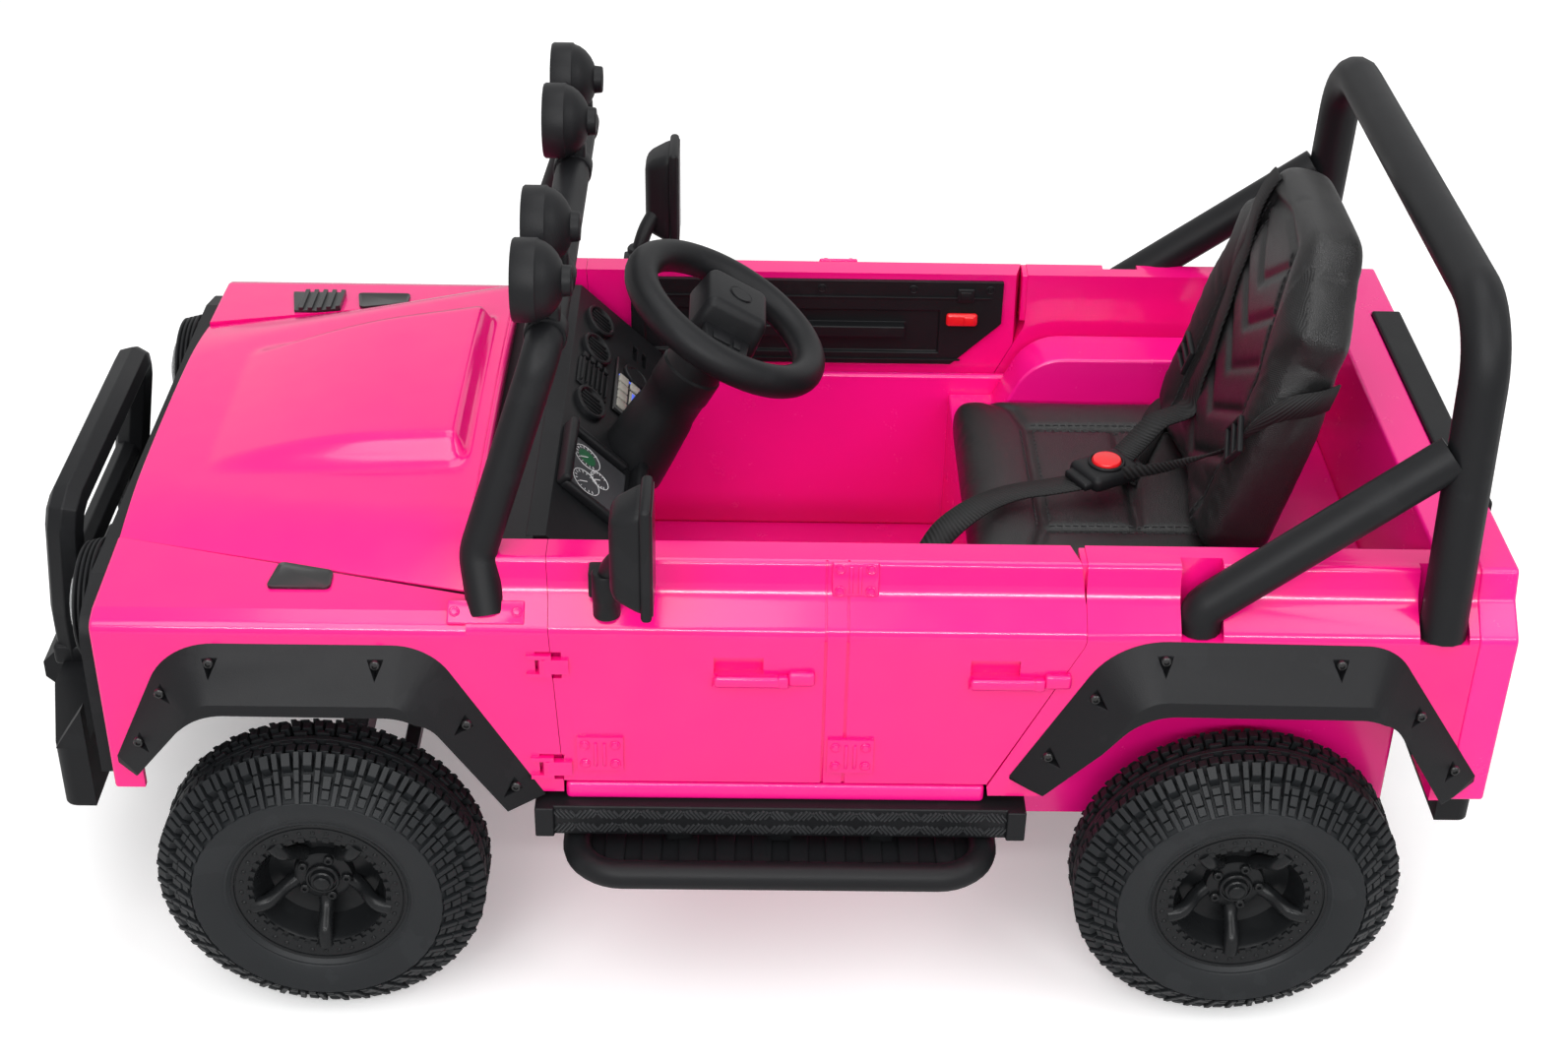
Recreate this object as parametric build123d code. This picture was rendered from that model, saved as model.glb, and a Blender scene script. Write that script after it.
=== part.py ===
from build123d import *
import math
import os

os.makedirs("parts", exist_ok=True)

# Child's electric ride-on 4x4, in millimetres.
# +X is forward, +Y is the driver's left, +Z is up, and the wheels stand on Z = 0.

# Driving sizes
WHEELBASE = 780.0
FRONT_OVERHANG = 278.0
REAR_OVERHANG = 215.0
TYRE_RADIUS = 140.0
TYRE_WIDTH = 98.0
BODY_HALF_WIDTH = 302.0
WHEEL_STANDOFF = 37.0
ARCH_ROOM = 108.0
FLOOR_RISE = 20.0

NOSE_X = (WHEELBASE + FRONT_OVERHANG + REAR_OVERHANG) / 2
TAIL_X = -NOSE_X
FRONT_AXLE_X = NOSE_X - FRONT_OVERHANG
REAR_AXLE_X = FRONT_AXLE_X - WHEELBASE
AXLE_Z = TYRE_RADIUS
WHEEL_FACE_Y = BODY_HALF_WIDTH + WHEEL_STANDOFF
WHEEL_Y = WHEEL_FACE_Y - TYRE_WIDTH / 2

# Body side, from the skirt up to the top rail
SIDE_HEIGHT = 156.0
SIDE_THICK = 60.0
SHOULDER_LIFT = 8.0
SHOULDER_ROUND = 12.0
CREASE_IN = 26.0
CREASE_RISE = 30.0
RAIL_IN = 32.0
RAIL_RISE = 26.0
EDGE_ROUND = 6.0
SKIN = 6.0
SEAM = 3.0
SHOULDER_Z = 2 * TYRE_RADIUS + ARCH_ROOM
SKIRT_Z = SHOULDER_Z - SIDE_HEIGHT
CREASE_Y = BODY_HALF_WIDTH - CREASE_IN
CREASE_Z = SHOULDER_Z + CREASE_RISE
RAIL_Y = BODY_HALF_WIDTH - RAIL_IN
BODY_TOP_Z = CREASE_Z + RAIL_RISE
WALL_INNER_Y = BODY_HALF_WIDTH - SIDE_THICK

# Tub inside the body
TUB_GAP = 6.0
TUB_WALL = 8.0
TUB_DROP = 106.0
PLATFORM_DROP = 126.0
DASH_DROP = 144.0
TUB_Y = WALL_INNER_Y - TUB_GAP
TUB_INNER_Y = TUB_Y - TUB_WALL
FLOOR_Z = AXLE_Z + FLOOR_RISE
TUB_TOP_Z = BODY_TOP_Z - TUB_DROP
PLATFORM_Z = BODY_TOP_Z - PLATFORM_DROP
DASH_LOW_Z = BODY_TOP_Z - DASH_DROP

# Stations along the body
DOOR_FRONT_GAP = 55.5
DOOR_REAR_GAP = 10.5
DOOR_REAR_RAKE = 71.0
COWL_LENGTH = 63.0
FIREWALL_SET = 12.0
WING_NOSE = 25.5
BUMPER_PROUD = 16.5
REAR_THICK = 32.0
REAR_LEDGE = 31.0
DOOR_FRONT_X = FRONT_AXLE_X - TYRE_RADIUS - DOOR_FRONT_GAP
DOOR_REAR_X = REAR_AXLE_X + TYRE_RADIUS + DOOR_REAR_GAP
DOOR_FOOT_X = DOOR_REAR_X + DOOR_REAR_RAKE
FIREWALL_X = DOOR_FRONT_X + FIREWALL_SET
COWL_X = DOOR_FRONT_X + COWL_LENGTH
WING_FRONT_X = FRONT_AXLE_X + TYRE_RADIUS + WING_NOSE
REAR_FACE_X = TAIL_X + BUMPER_PROUD
QUARTER_REAR_X = REAR_FACE_X + REAR_THICK
REAR_WALL_X = QUARTER_REAR_X + REAR_LEDGE
RISER_X = DOOR_FOOT_X

# Reach of a cutting block past the part it cuts
PAST = 400.0


def outline(corners):
    """Face on the XY plane from rows of u, v, corner radius."""
    count = len(corners)
    entry = []
    leave = []
    arcs = []
    for i, (u, v, radius) in enumerate(corners):
        here = Vector(u, v)
        before = Vector(*corners[i - 1][:2]) - here
        after = Vector(*corners[(i + 1) % count][:2]) - here
        if radius == 0:
            entry.append(here)
            leave.append(here)
            arcs.append(None)
            continue
        before = before.normalized()
        after = after.normalized()
        half = math.acos(max(-1.0, min(1.0, before.dot(after)))) / 2
        setback = radius / math.tan(half)
        bisector = (before + after).normalized()
        entry.append(here + before * setback)
        leave.append(here + after * setback)
        arcs.append(here + bisector * (radius / math.sin(half) - radius))
    edges = []
    for i in range(count):
        if arcs[i] is not None:
            edges.append(ThreePointArc(entry[i], arcs[i], leave[i]))
        nxt = (i + 1) % count
        if (entry[nxt] - leave[i]).length > 1e-6:
            edges.append(Line(leave[i], entry[nxt]))
    return make_face(Wire(edges))


def sharp(points):
    return outline([(u, v, 0) for u, v in points])


def both_sides(rows):
    """Half outline of u, v, radius from the middle out, and its mirror image."""
    return rows + [(-u, v, radius) for u, v, radius in rows[::-1]]


def side_plate(face, y_low, y_high):
    """Face drawn in X, Z, pushed through from y_low to y_high."""
    placed = Plane((0, y_low, 0), x_dir=(1, 0, 0), z_dir=(0, -1, 0)) * face
    return extrude(placed, amount=y_high - y_low, dir=(0, 1, 0))


def cross_plate(face, x_low, x_high):
    """Face drawn in Y, Z, pushed through from x_low to x_high."""
    placed = Plane((x_low, 0, 0), x_dir=(0, 1, 0), z_dir=(1, 0, 0)) * face
    return extrude(placed, amount=x_high - x_low, dir=(1, 0, 0))


def plan_plate(face, z_low, z_high):
    """Face drawn in X, Y, pushed through from z_low to z_high."""
    return extrude(Pos(0, 0, z_low) * face, amount=z_high - z_low, dir=(0, 0, 1))


def block(x_low, x_high, y_low, y_high, z_low, z_high):
    centre = Pos((x_low + x_high) / 2, (y_low + y_high) / 2, (z_low + z_high) / 2)
    return centre * Box(x_high - x_low, y_high - y_low, z_high - z_low)


def flat(points):
    return Face(Wire.make_polygon(points))


FLAT_LIMIT = 1e-6


def faceted(rings):
    """Solid with flat faces between closed rings of points, and flat ends."""
    faces = [flat(rings[0]), flat(rings[-1])]
    for low, high in zip(rings, rings[1:]):
        for i in range(len(low)):
            here, ahead, above, back = low[i - 1], low[i], high[i], high[i - 1]
            normal = (ahead - here).cross(above - here).normalized()
            if abs(normal.dot(back - here)) < FLAT_LIMIT:
                faces.append(flat([here, ahead, above, back]))
            else:
                faces.append(flat([here, ahead, above]))
                faces.append(flat([here, above, back]))
    return Solid(Shell(faces))


def ring_points(place, height, radius, sides):
    """Corners of a flat-sided ring round the Z axis of place."""
    points = []
    for side in range(sides):
        angle = 2 * math.pi * side / sides
        corner = Pos(radius * math.cos(angle), radius * math.sin(angle), height)
        points.append((place * corner).position)
    return points


def turned(place, rows, sides):
    """Flat-sided turning about the Z axis of place, from rows of height, radius."""
    return faceted([ring_points(place, height, radius, sides) for height, radius in rows])


def along_x(x, y, z):
    return Plane((x, y, z), x_dir=(0, 1, 0), z_dir=(1, 0, 0))


# Shafts and pins have flats, and their bores are wider by the corner share
SHAFT_SIDES = 8
SHAFT_FLAT = math.cos(math.pi / SHAFT_SIDES)


def shaft(start, end, radius):
    start = Vector(*start)
    end = Vector(*end)
    base = Plane(start, z_dir=end - start)
    return extrude(base * RegularPolygon(radius, SHAFT_SIDES), amount=(end - start).length)


def bore(start, end, radius):
    """Room in which a shaft of this radius turns freely."""
    return shaft(start, end, radius / SHAFT_FLAT)


def bend_points(points, bend, chords):
    """Run through points, with each corner turned into a bend of short chords."""
    run = [Vector(*points[0])]
    for i in range(1, len(points) - 1):
        here = Vector(*points[i])
        before = (Vector(*points[i - 1]) - here).normalized()
        after = (Vector(*points[i + 1]) - here).normalized()
        half = math.acos(before.dot(after)) / 2
        centre = here + (before + after).normalized() * (bend / math.sin(half))
        start = here + before * (bend / math.tan(half)) - centre
        end = here + after * (bend / math.tan(half)) - centre
        turn = math.pi - 2 * half
        for step in range(chords + 1):
            share = step / chords
            early = math.sin((1 - share) * turn) / math.sin(turn)
            late = math.sin(share * turn) / math.sin(turn)
            run.append(centre + start * early + end * late)
    run.append(Vector(*points[-1]))
    return run


# Tubes have flats, and their bends are short chords
TUBE_SIDES = 8
TUBE_CHORDS = 2
HOOP_CHORDS = 3


def tube(points, bend, radius, sides=TUBE_SIDES, chords=TUBE_CHORDS):
    """Flat-sided tube with chorded bends."""
    run = Polyline(*bend_points(points, bend, chords))
    section = Plane(run @ 0, z_dir=run % 0) * RegularPolygon(radius, sides)
    return sweep(section, path=run, transition=Transition.RIGHT)


def mirrored(solid):
    return mirror(solid, about=Plane.XZ)


def largest(shape):
    return shape.solids().sort_by(SortBy.VOLUME)[-1]


def save(name, *solids):
    found = [s for part in solids for s in part.solids()]
    shape = found[0] if len(found) == 1 else Compound(found)
    export_step(shape, "parts/" + name + ".step")


def save_pair(name, solid):
    save(name + "_left", solid)
    save(name + "_right", mirrored(solid))


# Wheel arches: rows of dx, dz, corner radius from the axle, in tyre radii
front_arch_outer = [
    (1.136, 0.893, 0),
    (0.757, 1.714, 0.43),
    (-0.743, 1.714, 0.37),
    (-1.379, 0.629, 0),
]
front_arch_lip = [
    (1.0, 0.843, 0),
    (0.60, 1.379, 0.36),
    (-0.686, 1.372, 0.36),
    (-1.164, 0.636, 0),
]
rear_arch_outer = [
    (1.443, 0.814, 0),
    (0.886, 1.807, 0.50),
    (-0.714, 1.786, 0.32),
    (-1.336, 0.85, 0),
]
rear_arch_lip = [
    (1.257, 0.786, 0),
    (0.721, 1.443, 0.39),
    (-0.693, 1.429, 0.32),
    (-1.086, 0.80, 0),
]


def arch_rows(rows, axle_x):
    placed = []
    for dx, dz, radius in rows:
        placed.append((axle_x + dx * TYRE_RADIUS, AXLE_Z + dz * TYRE_RADIUS, radius * TYRE_RADIUS))
    return placed


def arch_face(rows, axle_x):
    """Arch closed straight down to the ground below its two feet."""
    placed = arch_rows(rows, axle_x)
    foot = [(placed[-1][0], 0, 0), (placed[0][0], 0, 0)]
    return outline(placed + foot)


def arch_opening(rows, axle_x):
    return side_plate(arch_face(rows, axle_x), KINGPIN_Y, WHEEL_FACE_Y + PAST)


# Flares: a band that slopes out to the lip, with bolt pockets in its outer edge
FLARE_REACH = 34.0
FLARE_SLOPE = 47.0
POCKET_HALF = 8.0
POCKET_DEEP = 13.0
POCKET_IN = 6.0
POCKET_LONG = 16.0
# Bolt pockets as shares along each edge of the arch: front, top, rear
pocket_shares = [(0.25, 0.68), (0.17, 0.80), (0.42, 0.84)]


def flare(outer_rows, lip_rows, axle_x):
    placed = arch_rows(outer_rows, axle_x)
    drop = 2 * FLARE_REACH
    foot = [
        (placed[-1][0], placed[-1][1] - drop, 0),
        (placed[0][0], placed[0][1] - drop, 0),
    ]
    root = Plane((0, BODY_HALF_WIDTH, 0), x_dir=(-1, 0, 0), z_dir=(0, 1, 0))
    facing = [(-x, z, radius) for x, z, radius in placed + foot]
    band = extrude(root * outline(facing), amount=FLARE_REACH, taper=FLARE_SLOPE)
    band = band - arch_opening(lip_rows, axle_x)
    for end in (0, -1):
        low_z = arch_rows(lip_rows, axle_x)[end][1]
        x_far = axle_x + PAST * (1 if end == 0 else -1)
        x_ends = sorted((axle_x, x_far))
        band = band - block(*x_ends, BODY_HALF_WIDTH, WHEEL_FACE_Y, 0, low_z)
    floor_y = BODY_HALF_WIDTH + FLARE_REACH - POCKET_DEEP
    for start, end, shares in zip(placed, placed[1:], pocket_shares):
        low = Vector(start[0], start[1])
        high = Vector(end[0], end[1])
        along = (high - low).normalized()
        inward = Vector(-along.Y, along.X)
        for share in shares:
            spot = low * (1 - share) + high * share + inward * POCKET_IN
            wide = along * POCKET_HALF
            tip = spot + inward * POCKET_LONG
            pocket = sharp([(p.X, p.Y) for p in (spot - wide, spot + wide, tip)])
            band = band - side_plate(pocket, floor_y - POCKET_DEEP, floor_y + PAST)
    return largest(band)


# Wheel carriers set the clear width between the arches
KINGPIN_SET = 84.0
KINGPIN_Y = WHEEL_Y - KINGPIN_SET

front_flare = flare(front_arch_outer, front_arch_lip, FRONT_AXLE_X)
rear_flare = flare(rear_arch_outer, rear_arch_lip, REAR_AXLE_X)
save("front_flares", front_flare, mirrored(front_flare))
save("rear_flares", rear_flare, mirrored(rear_flare))

# Body side: one section for doors, quarters and cowl, cut by each panel's outline
body_section = outline(
    [
        (WALL_INNER_Y, SKIRT_Z, 0),
        (BODY_HALF_WIDTH, SKIRT_Z, 0),
        (BODY_HALF_WIDTH, SHOULDER_Z + SHOULDER_LIFT, SHOULDER_ROUND),
        (CREASE_Y, CREASE_Z, 0),
        (RAIL_Y, BODY_TOP_Z, EDGE_ROUND),
        (WALL_INNER_Y, BODY_TOP_Z, 0),
    ]
)

# Door: one panel, moulded to look like two with a pillar between
DOOR_LEAN = 14.0
DOOR_KNEE_DROP = 56.0
DOOR_KNEE_ROUND = 20.0
ROCKER_RISE = 9.0
DOOR_BOTTOM_Z = SKIRT_Z + ROCKER_RISE + SEAM
DOOR_KNEE_Z = BODY_TOP_Z - DOOR_KNEE_DROP
GROOVE_WIDE = 2.6
GROOVE_DEEP = 2.0
DOOR_LENGTH = DOOR_FRONT_X - DOOR_REAR_X
# Pillar lines, as shares of the door from its front edge
pillar_lines = (0.522, 0.563)


def door_opening(gap):
    """Door outline in X, Z, grown by gap at its front and rear edges."""
    return outline(
        [
            (DOOR_FRONT_X - DOOR_LEAN + gap, DOOR_BOTTOM_Z - gap, 0),
            (DOOR_FRONT_X + gap, BODY_TOP_Z + SIDE_THICK, 0),
            (DOOR_REAR_X - gap, BODY_TOP_Z + SIDE_THICK, 0),
            (DOOR_REAR_X - gap, DOOR_KNEE_Z, DOOR_KNEE_ROUND),
            (DOOR_FOOT_X - gap, DOOR_BOTTOM_Z - gap, 0),
        ]
    )


door = cross_plate(body_section, DOOR_REAR_X, DOOR_FRONT_X)
door = door & side_plate(door_opening(0), 0, PAST)
for share in pillar_lines:
    line_x = DOOR_FRONT_X - share * DOOR_LENGTH
    door = door - block(
        line_x - GROOVE_WIDE / 2,
        line_x + GROOVE_WIDE / 2,
        BODY_HALF_WIDTH - GROOVE_DEEP,
        BODY_HALF_WIDTH + SEAM,
        DOOR_BOTTOM_Z,
        SHOULDER_Z,
    )

# The rear edge is bevelled inside, so that it swings past the quarter
BEVEL_OUT = 20.0
BEVEL_LENGTH = 10.0
bevel = sharp(
    [
        (DOOR_REAR_X - SEAM, BODY_HALF_WIDTH - BEVEL_OUT),
        (DOOR_REAR_X, BODY_HALF_WIDTH - BEVEL_OUT),
        (DOOR_REAR_X + BEVEL_LENGTH, WALL_INNER_Y),
        (DOOR_REAR_X + BEVEL_LENGTH, WALL_INNER_Y - TUB_GAP),
        (DOOR_REAR_X - SEAM, WALL_INNER_Y - TUB_GAP),
    ]
)
door = door - plan_plate(bevel, 0, BODY_TOP_Z + PAST)

# Pull handles: a bar across the lower edge of a finger pocket
HANDLE_LONG = 62.0
HANDLE_TALL = 9.0
HANDLE_PROUD = 6.0
HANDLE_DROP = 33.0
HANDLE_TAIL = 1 / 3
FINGER_LONG = 40.0
FINGER_TALL = 16.0
FINGER_DEEP = 6.0
handle_z = SHOULDER_Z - HANDLE_DROP
# Handle places, as shares of the door from its front edge
handle_places = (0.407, 0.885)
for share in handle_places:
    handle_x = DOOR_FRONT_X - share * DOOR_LENGTH
    pocket = block(
        handle_x,
        handle_x + FINGER_LONG,
        BODY_HALF_WIDTH - FINGER_DEEP,
        BODY_HALF_WIDTH + SEAM,
        handle_z,
        handle_z + FINGER_TALL,
    )
    tail_x = handle_x - HANDLE_LONG * HANDLE_TAIL
    bar_face = sharp(
        [
            (tail_x, handle_z - HANDLE_TALL),
            (tail_x + HANDLE_LONG, handle_z - HANDLE_TALL),
            (tail_x + HANDLE_LONG - HANDLE_TALL / 2, handle_z),
            (tail_x + HANDLE_TALL / 2, handle_z),
        ]
    )
    bar = side_plate(bar_face, BODY_HALF_WIDTH - FINGER_DEEP, BODY_HALF_WIDTH + HANDLE_PROUD)
    door = door - pocket + bar

# Moulded hinge plates: rows of share from the front edge, height above the door bottom
PLATE_LONG = 38.0
PLATE_TALL = 34.0
PLATE_PROUD = 3.0
hinge_plates = [(0.10, 30.0), (0.575, 30.0)]
for share, rise in hinge_plates:
    plate_x = DOOR_FRONT_X - share * DOOR_LENGTH
    plate_z = DOOR_BOTTOM_Z + rise
    door = door + block(
        plate_x - PLATE_LONG / 2,
        plate_x + PLATE_LONG / 2,
        BODY_HALF_WIDTH - SKIN,
        BODY_HALF_WIDTH + PLATE_PROUD,
        plate_z - PLATE_TALL / 2,
        plate_z + PLATE_TALL / 2,
    )

# Two working hinges at the front edge: a barrel on the door turns on the wing's pin
HINGE_SET = 1.0
HINGE_PIN_RADIUS = 2.5
HINGE_BARREL_RADIUS = 5.0
HINGE_HALF = 11.0
HINGE_LUG = 4.0
HINGE_STRAP = 20.0
HINGE_STRAP_IN = 2.0
HINGE_STRAP_OUT = 4.0
HINGE_ROOM = 2.0
HINGE_REACH = 14.0
HINGE_PLAY = 0.05
HINGE_LOW_RISE = 14.0
HINGE_SPACING = 104.0
HINGE_Y = BODY_HALF_WIDTH - HINGE_SET


hinge_room = []
hinge_pins = []
for hinge_rise in (HINGE_LOW_RISE, HINGE_LOW_RISE + HINGE_SPACING):
    low = DOOR_BOTTOM_Z + hinge_rise - HINGE_HALF
    high = DOOR_BOTTOM_Z + hinge_rise + HINGE_HALF
    barrel_low = low + HINGE_LUG + HINGE_PLAY
    barrel_high = high - HINGE_LUG - HINGE_PLAY
    room = block(
        DOOR_FRONT_X - HINGE_REACH,
        DOOR_FRONT_X + HINGE_BARREL_RADIUS + HINGE_ROOM,
        HINGE_Y - HINGE_BARREL_RADIUS - HINGE_ROOM,
        HINGE_Y + PAST,
        low - HINGE_ROOM,
        high + HINGE_ROOM,
    )
    hinge_room.append(room)
    strap = block(
        DOOR_FRONT_X - HINGE_STRAP,
        DOOR_FRONT_X,
        HINGE_Y - HINGE_STRAP_IN,
        HINGE_Y + HINGE_STRAP_OUT,
        barrel_low,
        barrel_high,
    )
    hinge_line = (DOOR_FRONT_X, HINGE_Y)
    barrel = shaft((*hinge_line, barrel_low), (*hinge_line, barrel_high), HINGE_BARREL_RADIUS)
    door = door - room + strap + barrel
    door = door - bore((*hinge_line, low), (*hinge_line, high), HINGE_PIN_RADIUS + HINGE_PLAY)
    pin = shaft((*hinge_line, low), (*hinge_line, high), HINGE_PIN_RADIUS)
    for lug_z in (low, high - HINGE_LUG):
        pin = pin + block(
            DOOR_FRONT_X - HINGE_BARREL_RADIUS,
            DOOR_FRONT_X + HINGE_REACH,
            HINGE_Y - HINGE_BARREL_RADIUS,
            HINGE_Y + HINGE_STRAP_OUT,
            lug_z,
            lug_z + HINGE_LUG,
        )
    hinge_pins.append(pin)
save_pair("door", door)

# Door card inside, with a map pocket, an arm rest and a latch lever
CARD_THICK = 6.0
CARD_DROP = 6.0
CARD_TALL = 92.0
CARD_FRONT_GAP = 45.0
CARD_REAR_GAP = 22.0
CARD_RAKE = 48.0
MAP_DEEP = 3.0
MAP_INSET = 14.0
REST_TALL = 12.0
REST_PROUD = 8.0
card_face_y = WALL_INNER_Y - CARD_THICK
card_front_x = DOOR_FRONT_X - CARD_FRONT_GAP
card_rear_x = DOOR_REAR_X + CARD_REAR_GAP
card_top_z = BODY_TOP_Z - CARD_DROP
card_low_z = card_top_z - CARD_TALL
card_mid_z = (card_top_z + card_low_z) / 2
card = side_plate(
    sharp(
        [
            (card_front_x, card_low_z),
            (card_front_x, card_top_z),
            (card_rear_x, card_top_z),
            (card_rear_x, card_mid_z),
            (card_rear_x + CARD_RAKE, card_low_z),
        ]
    ),
    card_face_y,
    WALL_INNER_Y,
)
card = card - block(
    card_rear_x + CARD_RAKE + MAP_INSET,
    card_front_x - MAP_INSET,
    card_face_y,
    card_face_y + MAP_DEEP,
    card_low_z + MAP_INSET,
    card_mid_z + MAP_INSET,
)
card = card + block(
    card_rear_x + 2 * CARD_RAKE,
    card_front_x - CARD_RAKE,
    card_face_y - REST_PROUD,
    card_face_y + MAP_DEEP,
    card_mid_z - REST_TALL,
    card_mid_z,
)
save_pair("door_card", card)

LEVER_LONG = 32.0
LEVER_TALL = 14.0
LEVER_PROUD = 7.0
lever_x = card_rear_x + CARD_RAKE / 2 + LEVER_LONG / 2
lever = block(
    lever_x - LEVER_LONG / 2,
    lever_x + LEVER_LONG / 2,
    card_face_y - LEVER_PROUD,
    card_face_y,
    card_mid_z,
    card_mid_z + LEVER_TALL,
)
save_pair("door_lever", lever)

# Door mirror: bracket on the door, barrel, arm and head
MIRROR_BACK = 51.0
MIRROR_SET = 12.0
MIRROR_BARREL = 11.0
MIRROR_SIDES = 12
MIRROR_BARREL_LOW = 13.0
MIRROR_BARREL_TOP = 44.0
MIRROR_FOOT_HALF = 14.0
MIRROR_FOOT_TALL = 22.0
MIRROR_ARM = 9.0
HEAD_BACK = 24.0
HEAD_OUT = 35.0
HEAD_RISE = 46.0
HEAD_WIDE = 54.0
HEAD_TALL = 100.0
HEAD_DEEP = 34.0
HEAD_CORNER = 10.0
HEAD_TAPER = 0.68
mirror_x = DOOR_FRONT_X - MIRROR_BACK
mirror_y = BODY_HALF_WIDTH - MIRROR_SET
head_x = mirror_x - HEAD_BACK
head_y = mirror_y + HEAD_OUT
head_z = BODY_TOP_Z + HEAD_RISE


def head_ring(x, scale):
    """Corners of the mirror head at one station."""
    wide = HEAD_WIDE / 2 * scale
    tall = HEAD_TALL / 2 * scale
    cut = HEAD_CORNER * scale
    upper = [(wide, tall - cut), (wide - cut, tall), (cut - wide, tall), (-wide, tall - cut)]
    corners = upper + [(-out, -rise) for out, rise in upper]
    return [Vector(x, head_y + out, head_z + rise) for out, rise in corners]


barrel_low_z = CREASE_Z - MIRROR_BARREL_LOW
barrel_top_z = CREASE_Z + MIRROR_BARREL_TOP
side_mirror = turned(
    Pos(mirror_x, mirror_y, barrel_low_z),
    [(0, MIRROR_BARREL), (barrel_top_z - barrel_low_z, MIRROR_BARREL)],
    MIRROR_SIDES,
)
side_mirror = side_mirror + block(
    mirror_x - MIRROR_FOOT_HALF,
    mirror_x + MIRROR_FOOT_HALF,
    RAIL_Y,
    mirror_y,
    CREASE_Z,
    CREASE_Z + MIRROR_FOOT_TALL,
)
side_mirror = side_mirror + tube(
    [
        (mirror_x, mirror_y, barrel_top_z - MIRROR_ARM),
        (head_x, head_y, head_z),
    ],
    0,
    MIRROR_ARM,
)
head = faceted(
    [
        head_ring(head_x - HEAD_DEEP / 2, 1.0),
        head_ring(head_x + HEAD_DEEP / 2, HEAD_TAPER),
    ]
)
side_mirror = side_mirror + head - door
save_pair("mirror", side_mirror)

# Quarter behind each door
quarter = cross_plate(body_section, QUARTER_REAR_X, DOOR_FOOT_X)
quarter = quarter - side_plate(door_opening(SEAM), 0, PAST)
quarter = quarter - block(DOOR_FOOT_X - SEAM, DOOR_FRONT_X, 0, PAST, 0, BODY_TOP_Z)
quarter = quarter - arch_opening(rear_arch_lip, REAR_AXLE_X)

# Roll hoop and two braces, whose feet stand in pockets of the quarters
HOOP_RADIUS = 19.0
BRACE_RADIUS = 16.0
HOOP_SET = 28.0
HOOP_RISE = 221.0
HOOP_FOOT_IN = 12.0
HOOP_TOP_IN = 40.0
HOOP_BEND = 62.0
FOOT_DROP = 26.0
FOOT_ROOM = 1.0
FOOT_LEAN = 8.0
BRACE_RUN = 195.0
BRACE_SHARE = 0.62
BRACE_KNEE = 20.0
hoop_x = QUARTER_REAR_X + HOOP_SET
foot_z = CREASE_Z - FOOT_DROP
hoop_top_z = BODY_TOP_Z + HOOP_RISE
hoop_foot = Vector(hoop_x, BODY_HALF_WIDTH - HOOP_FOOT_IN, foot_z)
hoop_corner = Vector(hoop_x, BODY_HALF_WIDTH - HOOP_TOP_IN, hoop_top_z)
hoop_half = [tuple(hoop_foot), tuple(hoop_corner)]
hoop_run = hoop_half + [(x, -y, z) for x, y, z in hoop_half[::-1]]
hoop = tube(hoop_run, HOOP_BEND, HOOP_RADIUS, chords=HOOP_CHORDS)
hoop = hoop - block(hoop_x - PAST, hoop_x + PAST, -PAST, PAST, 0, foot_z)
hoop = largest(hoop)

brace_top = hoop_foot * (1 - BRACE_SHARE) + hoop_corner * BRACE_SHARE
brace_foot_x = hoop_x + BRACE_RUN
brace_foot_y = BODY_HALF_WIDTH - BRACE_RADIUS - SEAM
brace = tube(
    [
        (brace_foot_x, brace_foot_y, foot_z - BRACE_KNEE),
        (brace_foot_x, brace_foot_y, foot_z + BRACE_KNEE),
        tuple(brace_top),
    ],
    BRACE_RADIUS,
    BRACE_RADIUS,
)
brace = brace - block(hoop_x, brace_foot_x + PAST, 0, PAST, 0, foot_z)
brace = largest(brace - hoop)
for foot_x, foot_y, foot_radius in [
    (hoop_x, BODY_HALF_WIDTH - HOOP_FOOT_IN, HOOP_RADIUS),
    (brace_foot_x, brace_foot_y, BRACE_RADIUS),
]:
    half = foot_radius + FOOT_ROOM
    inner_y = foot_y - half - FOOT_LEAN
    socket = block(foot_x - half, foot_x + half, inner_y, PAST, foot_z, PAST + foot_z)
    quarter = quarter - socket
quarter = largest(quarter - brace)
save_pair("quarter", quarter)
save("roll_hoop", hoop)
save("hoop_braces", brace, mirrored(brace))

# Front wing: side skin, nearly flat top, cowl end beside the windscreen
WING_TOP_RISE = 14.0
WING_TOP_IN = 18.0
WING_CROWN = 6.0
WING_INNER_SHARE = 0.6
WING_INNER_Y = BODY_HALF_WIDTH * WING_INNER_SHARE
WING_TOP_Z = SHOULDER_Z + WING_TOP_RISE
WING_EDGE_Y = BODY_HALF_WIDTH - WING_TOP_IN
SHOULDER_TOP_Z = SHOULDER_Z + SHOULDER_LIFT
COWL_GAP = 2.0
wing_section = outline(
    [
        (BODY_HALF_WIDTH, SKIRT_Z, 0),
        (BODY_HALF_WIDTH, SHOULDER_TOP_Z, SHOULDER_ROUND),
        (WING_EDGE_Y, WING_TOP_Z, EDGE_ROUND),
        (WING_INNER_Y, WING_TOP_Z + WING_CROWN, 0),
        (WING_INNER_Y, WING_TOP_Z + WING_CROWN - SKIN, 0),
        (WING_EDGE_Y, WING_TOP_Z - SKIN, 0),
        (BODY_HALF_WIDTH - SKIN, SHOULDER_TOP_Z - SKIN, 0),
        (BODY_HALF_WIDTH - SKIN, SKIRT_Z, 0),
    ]
)

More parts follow.
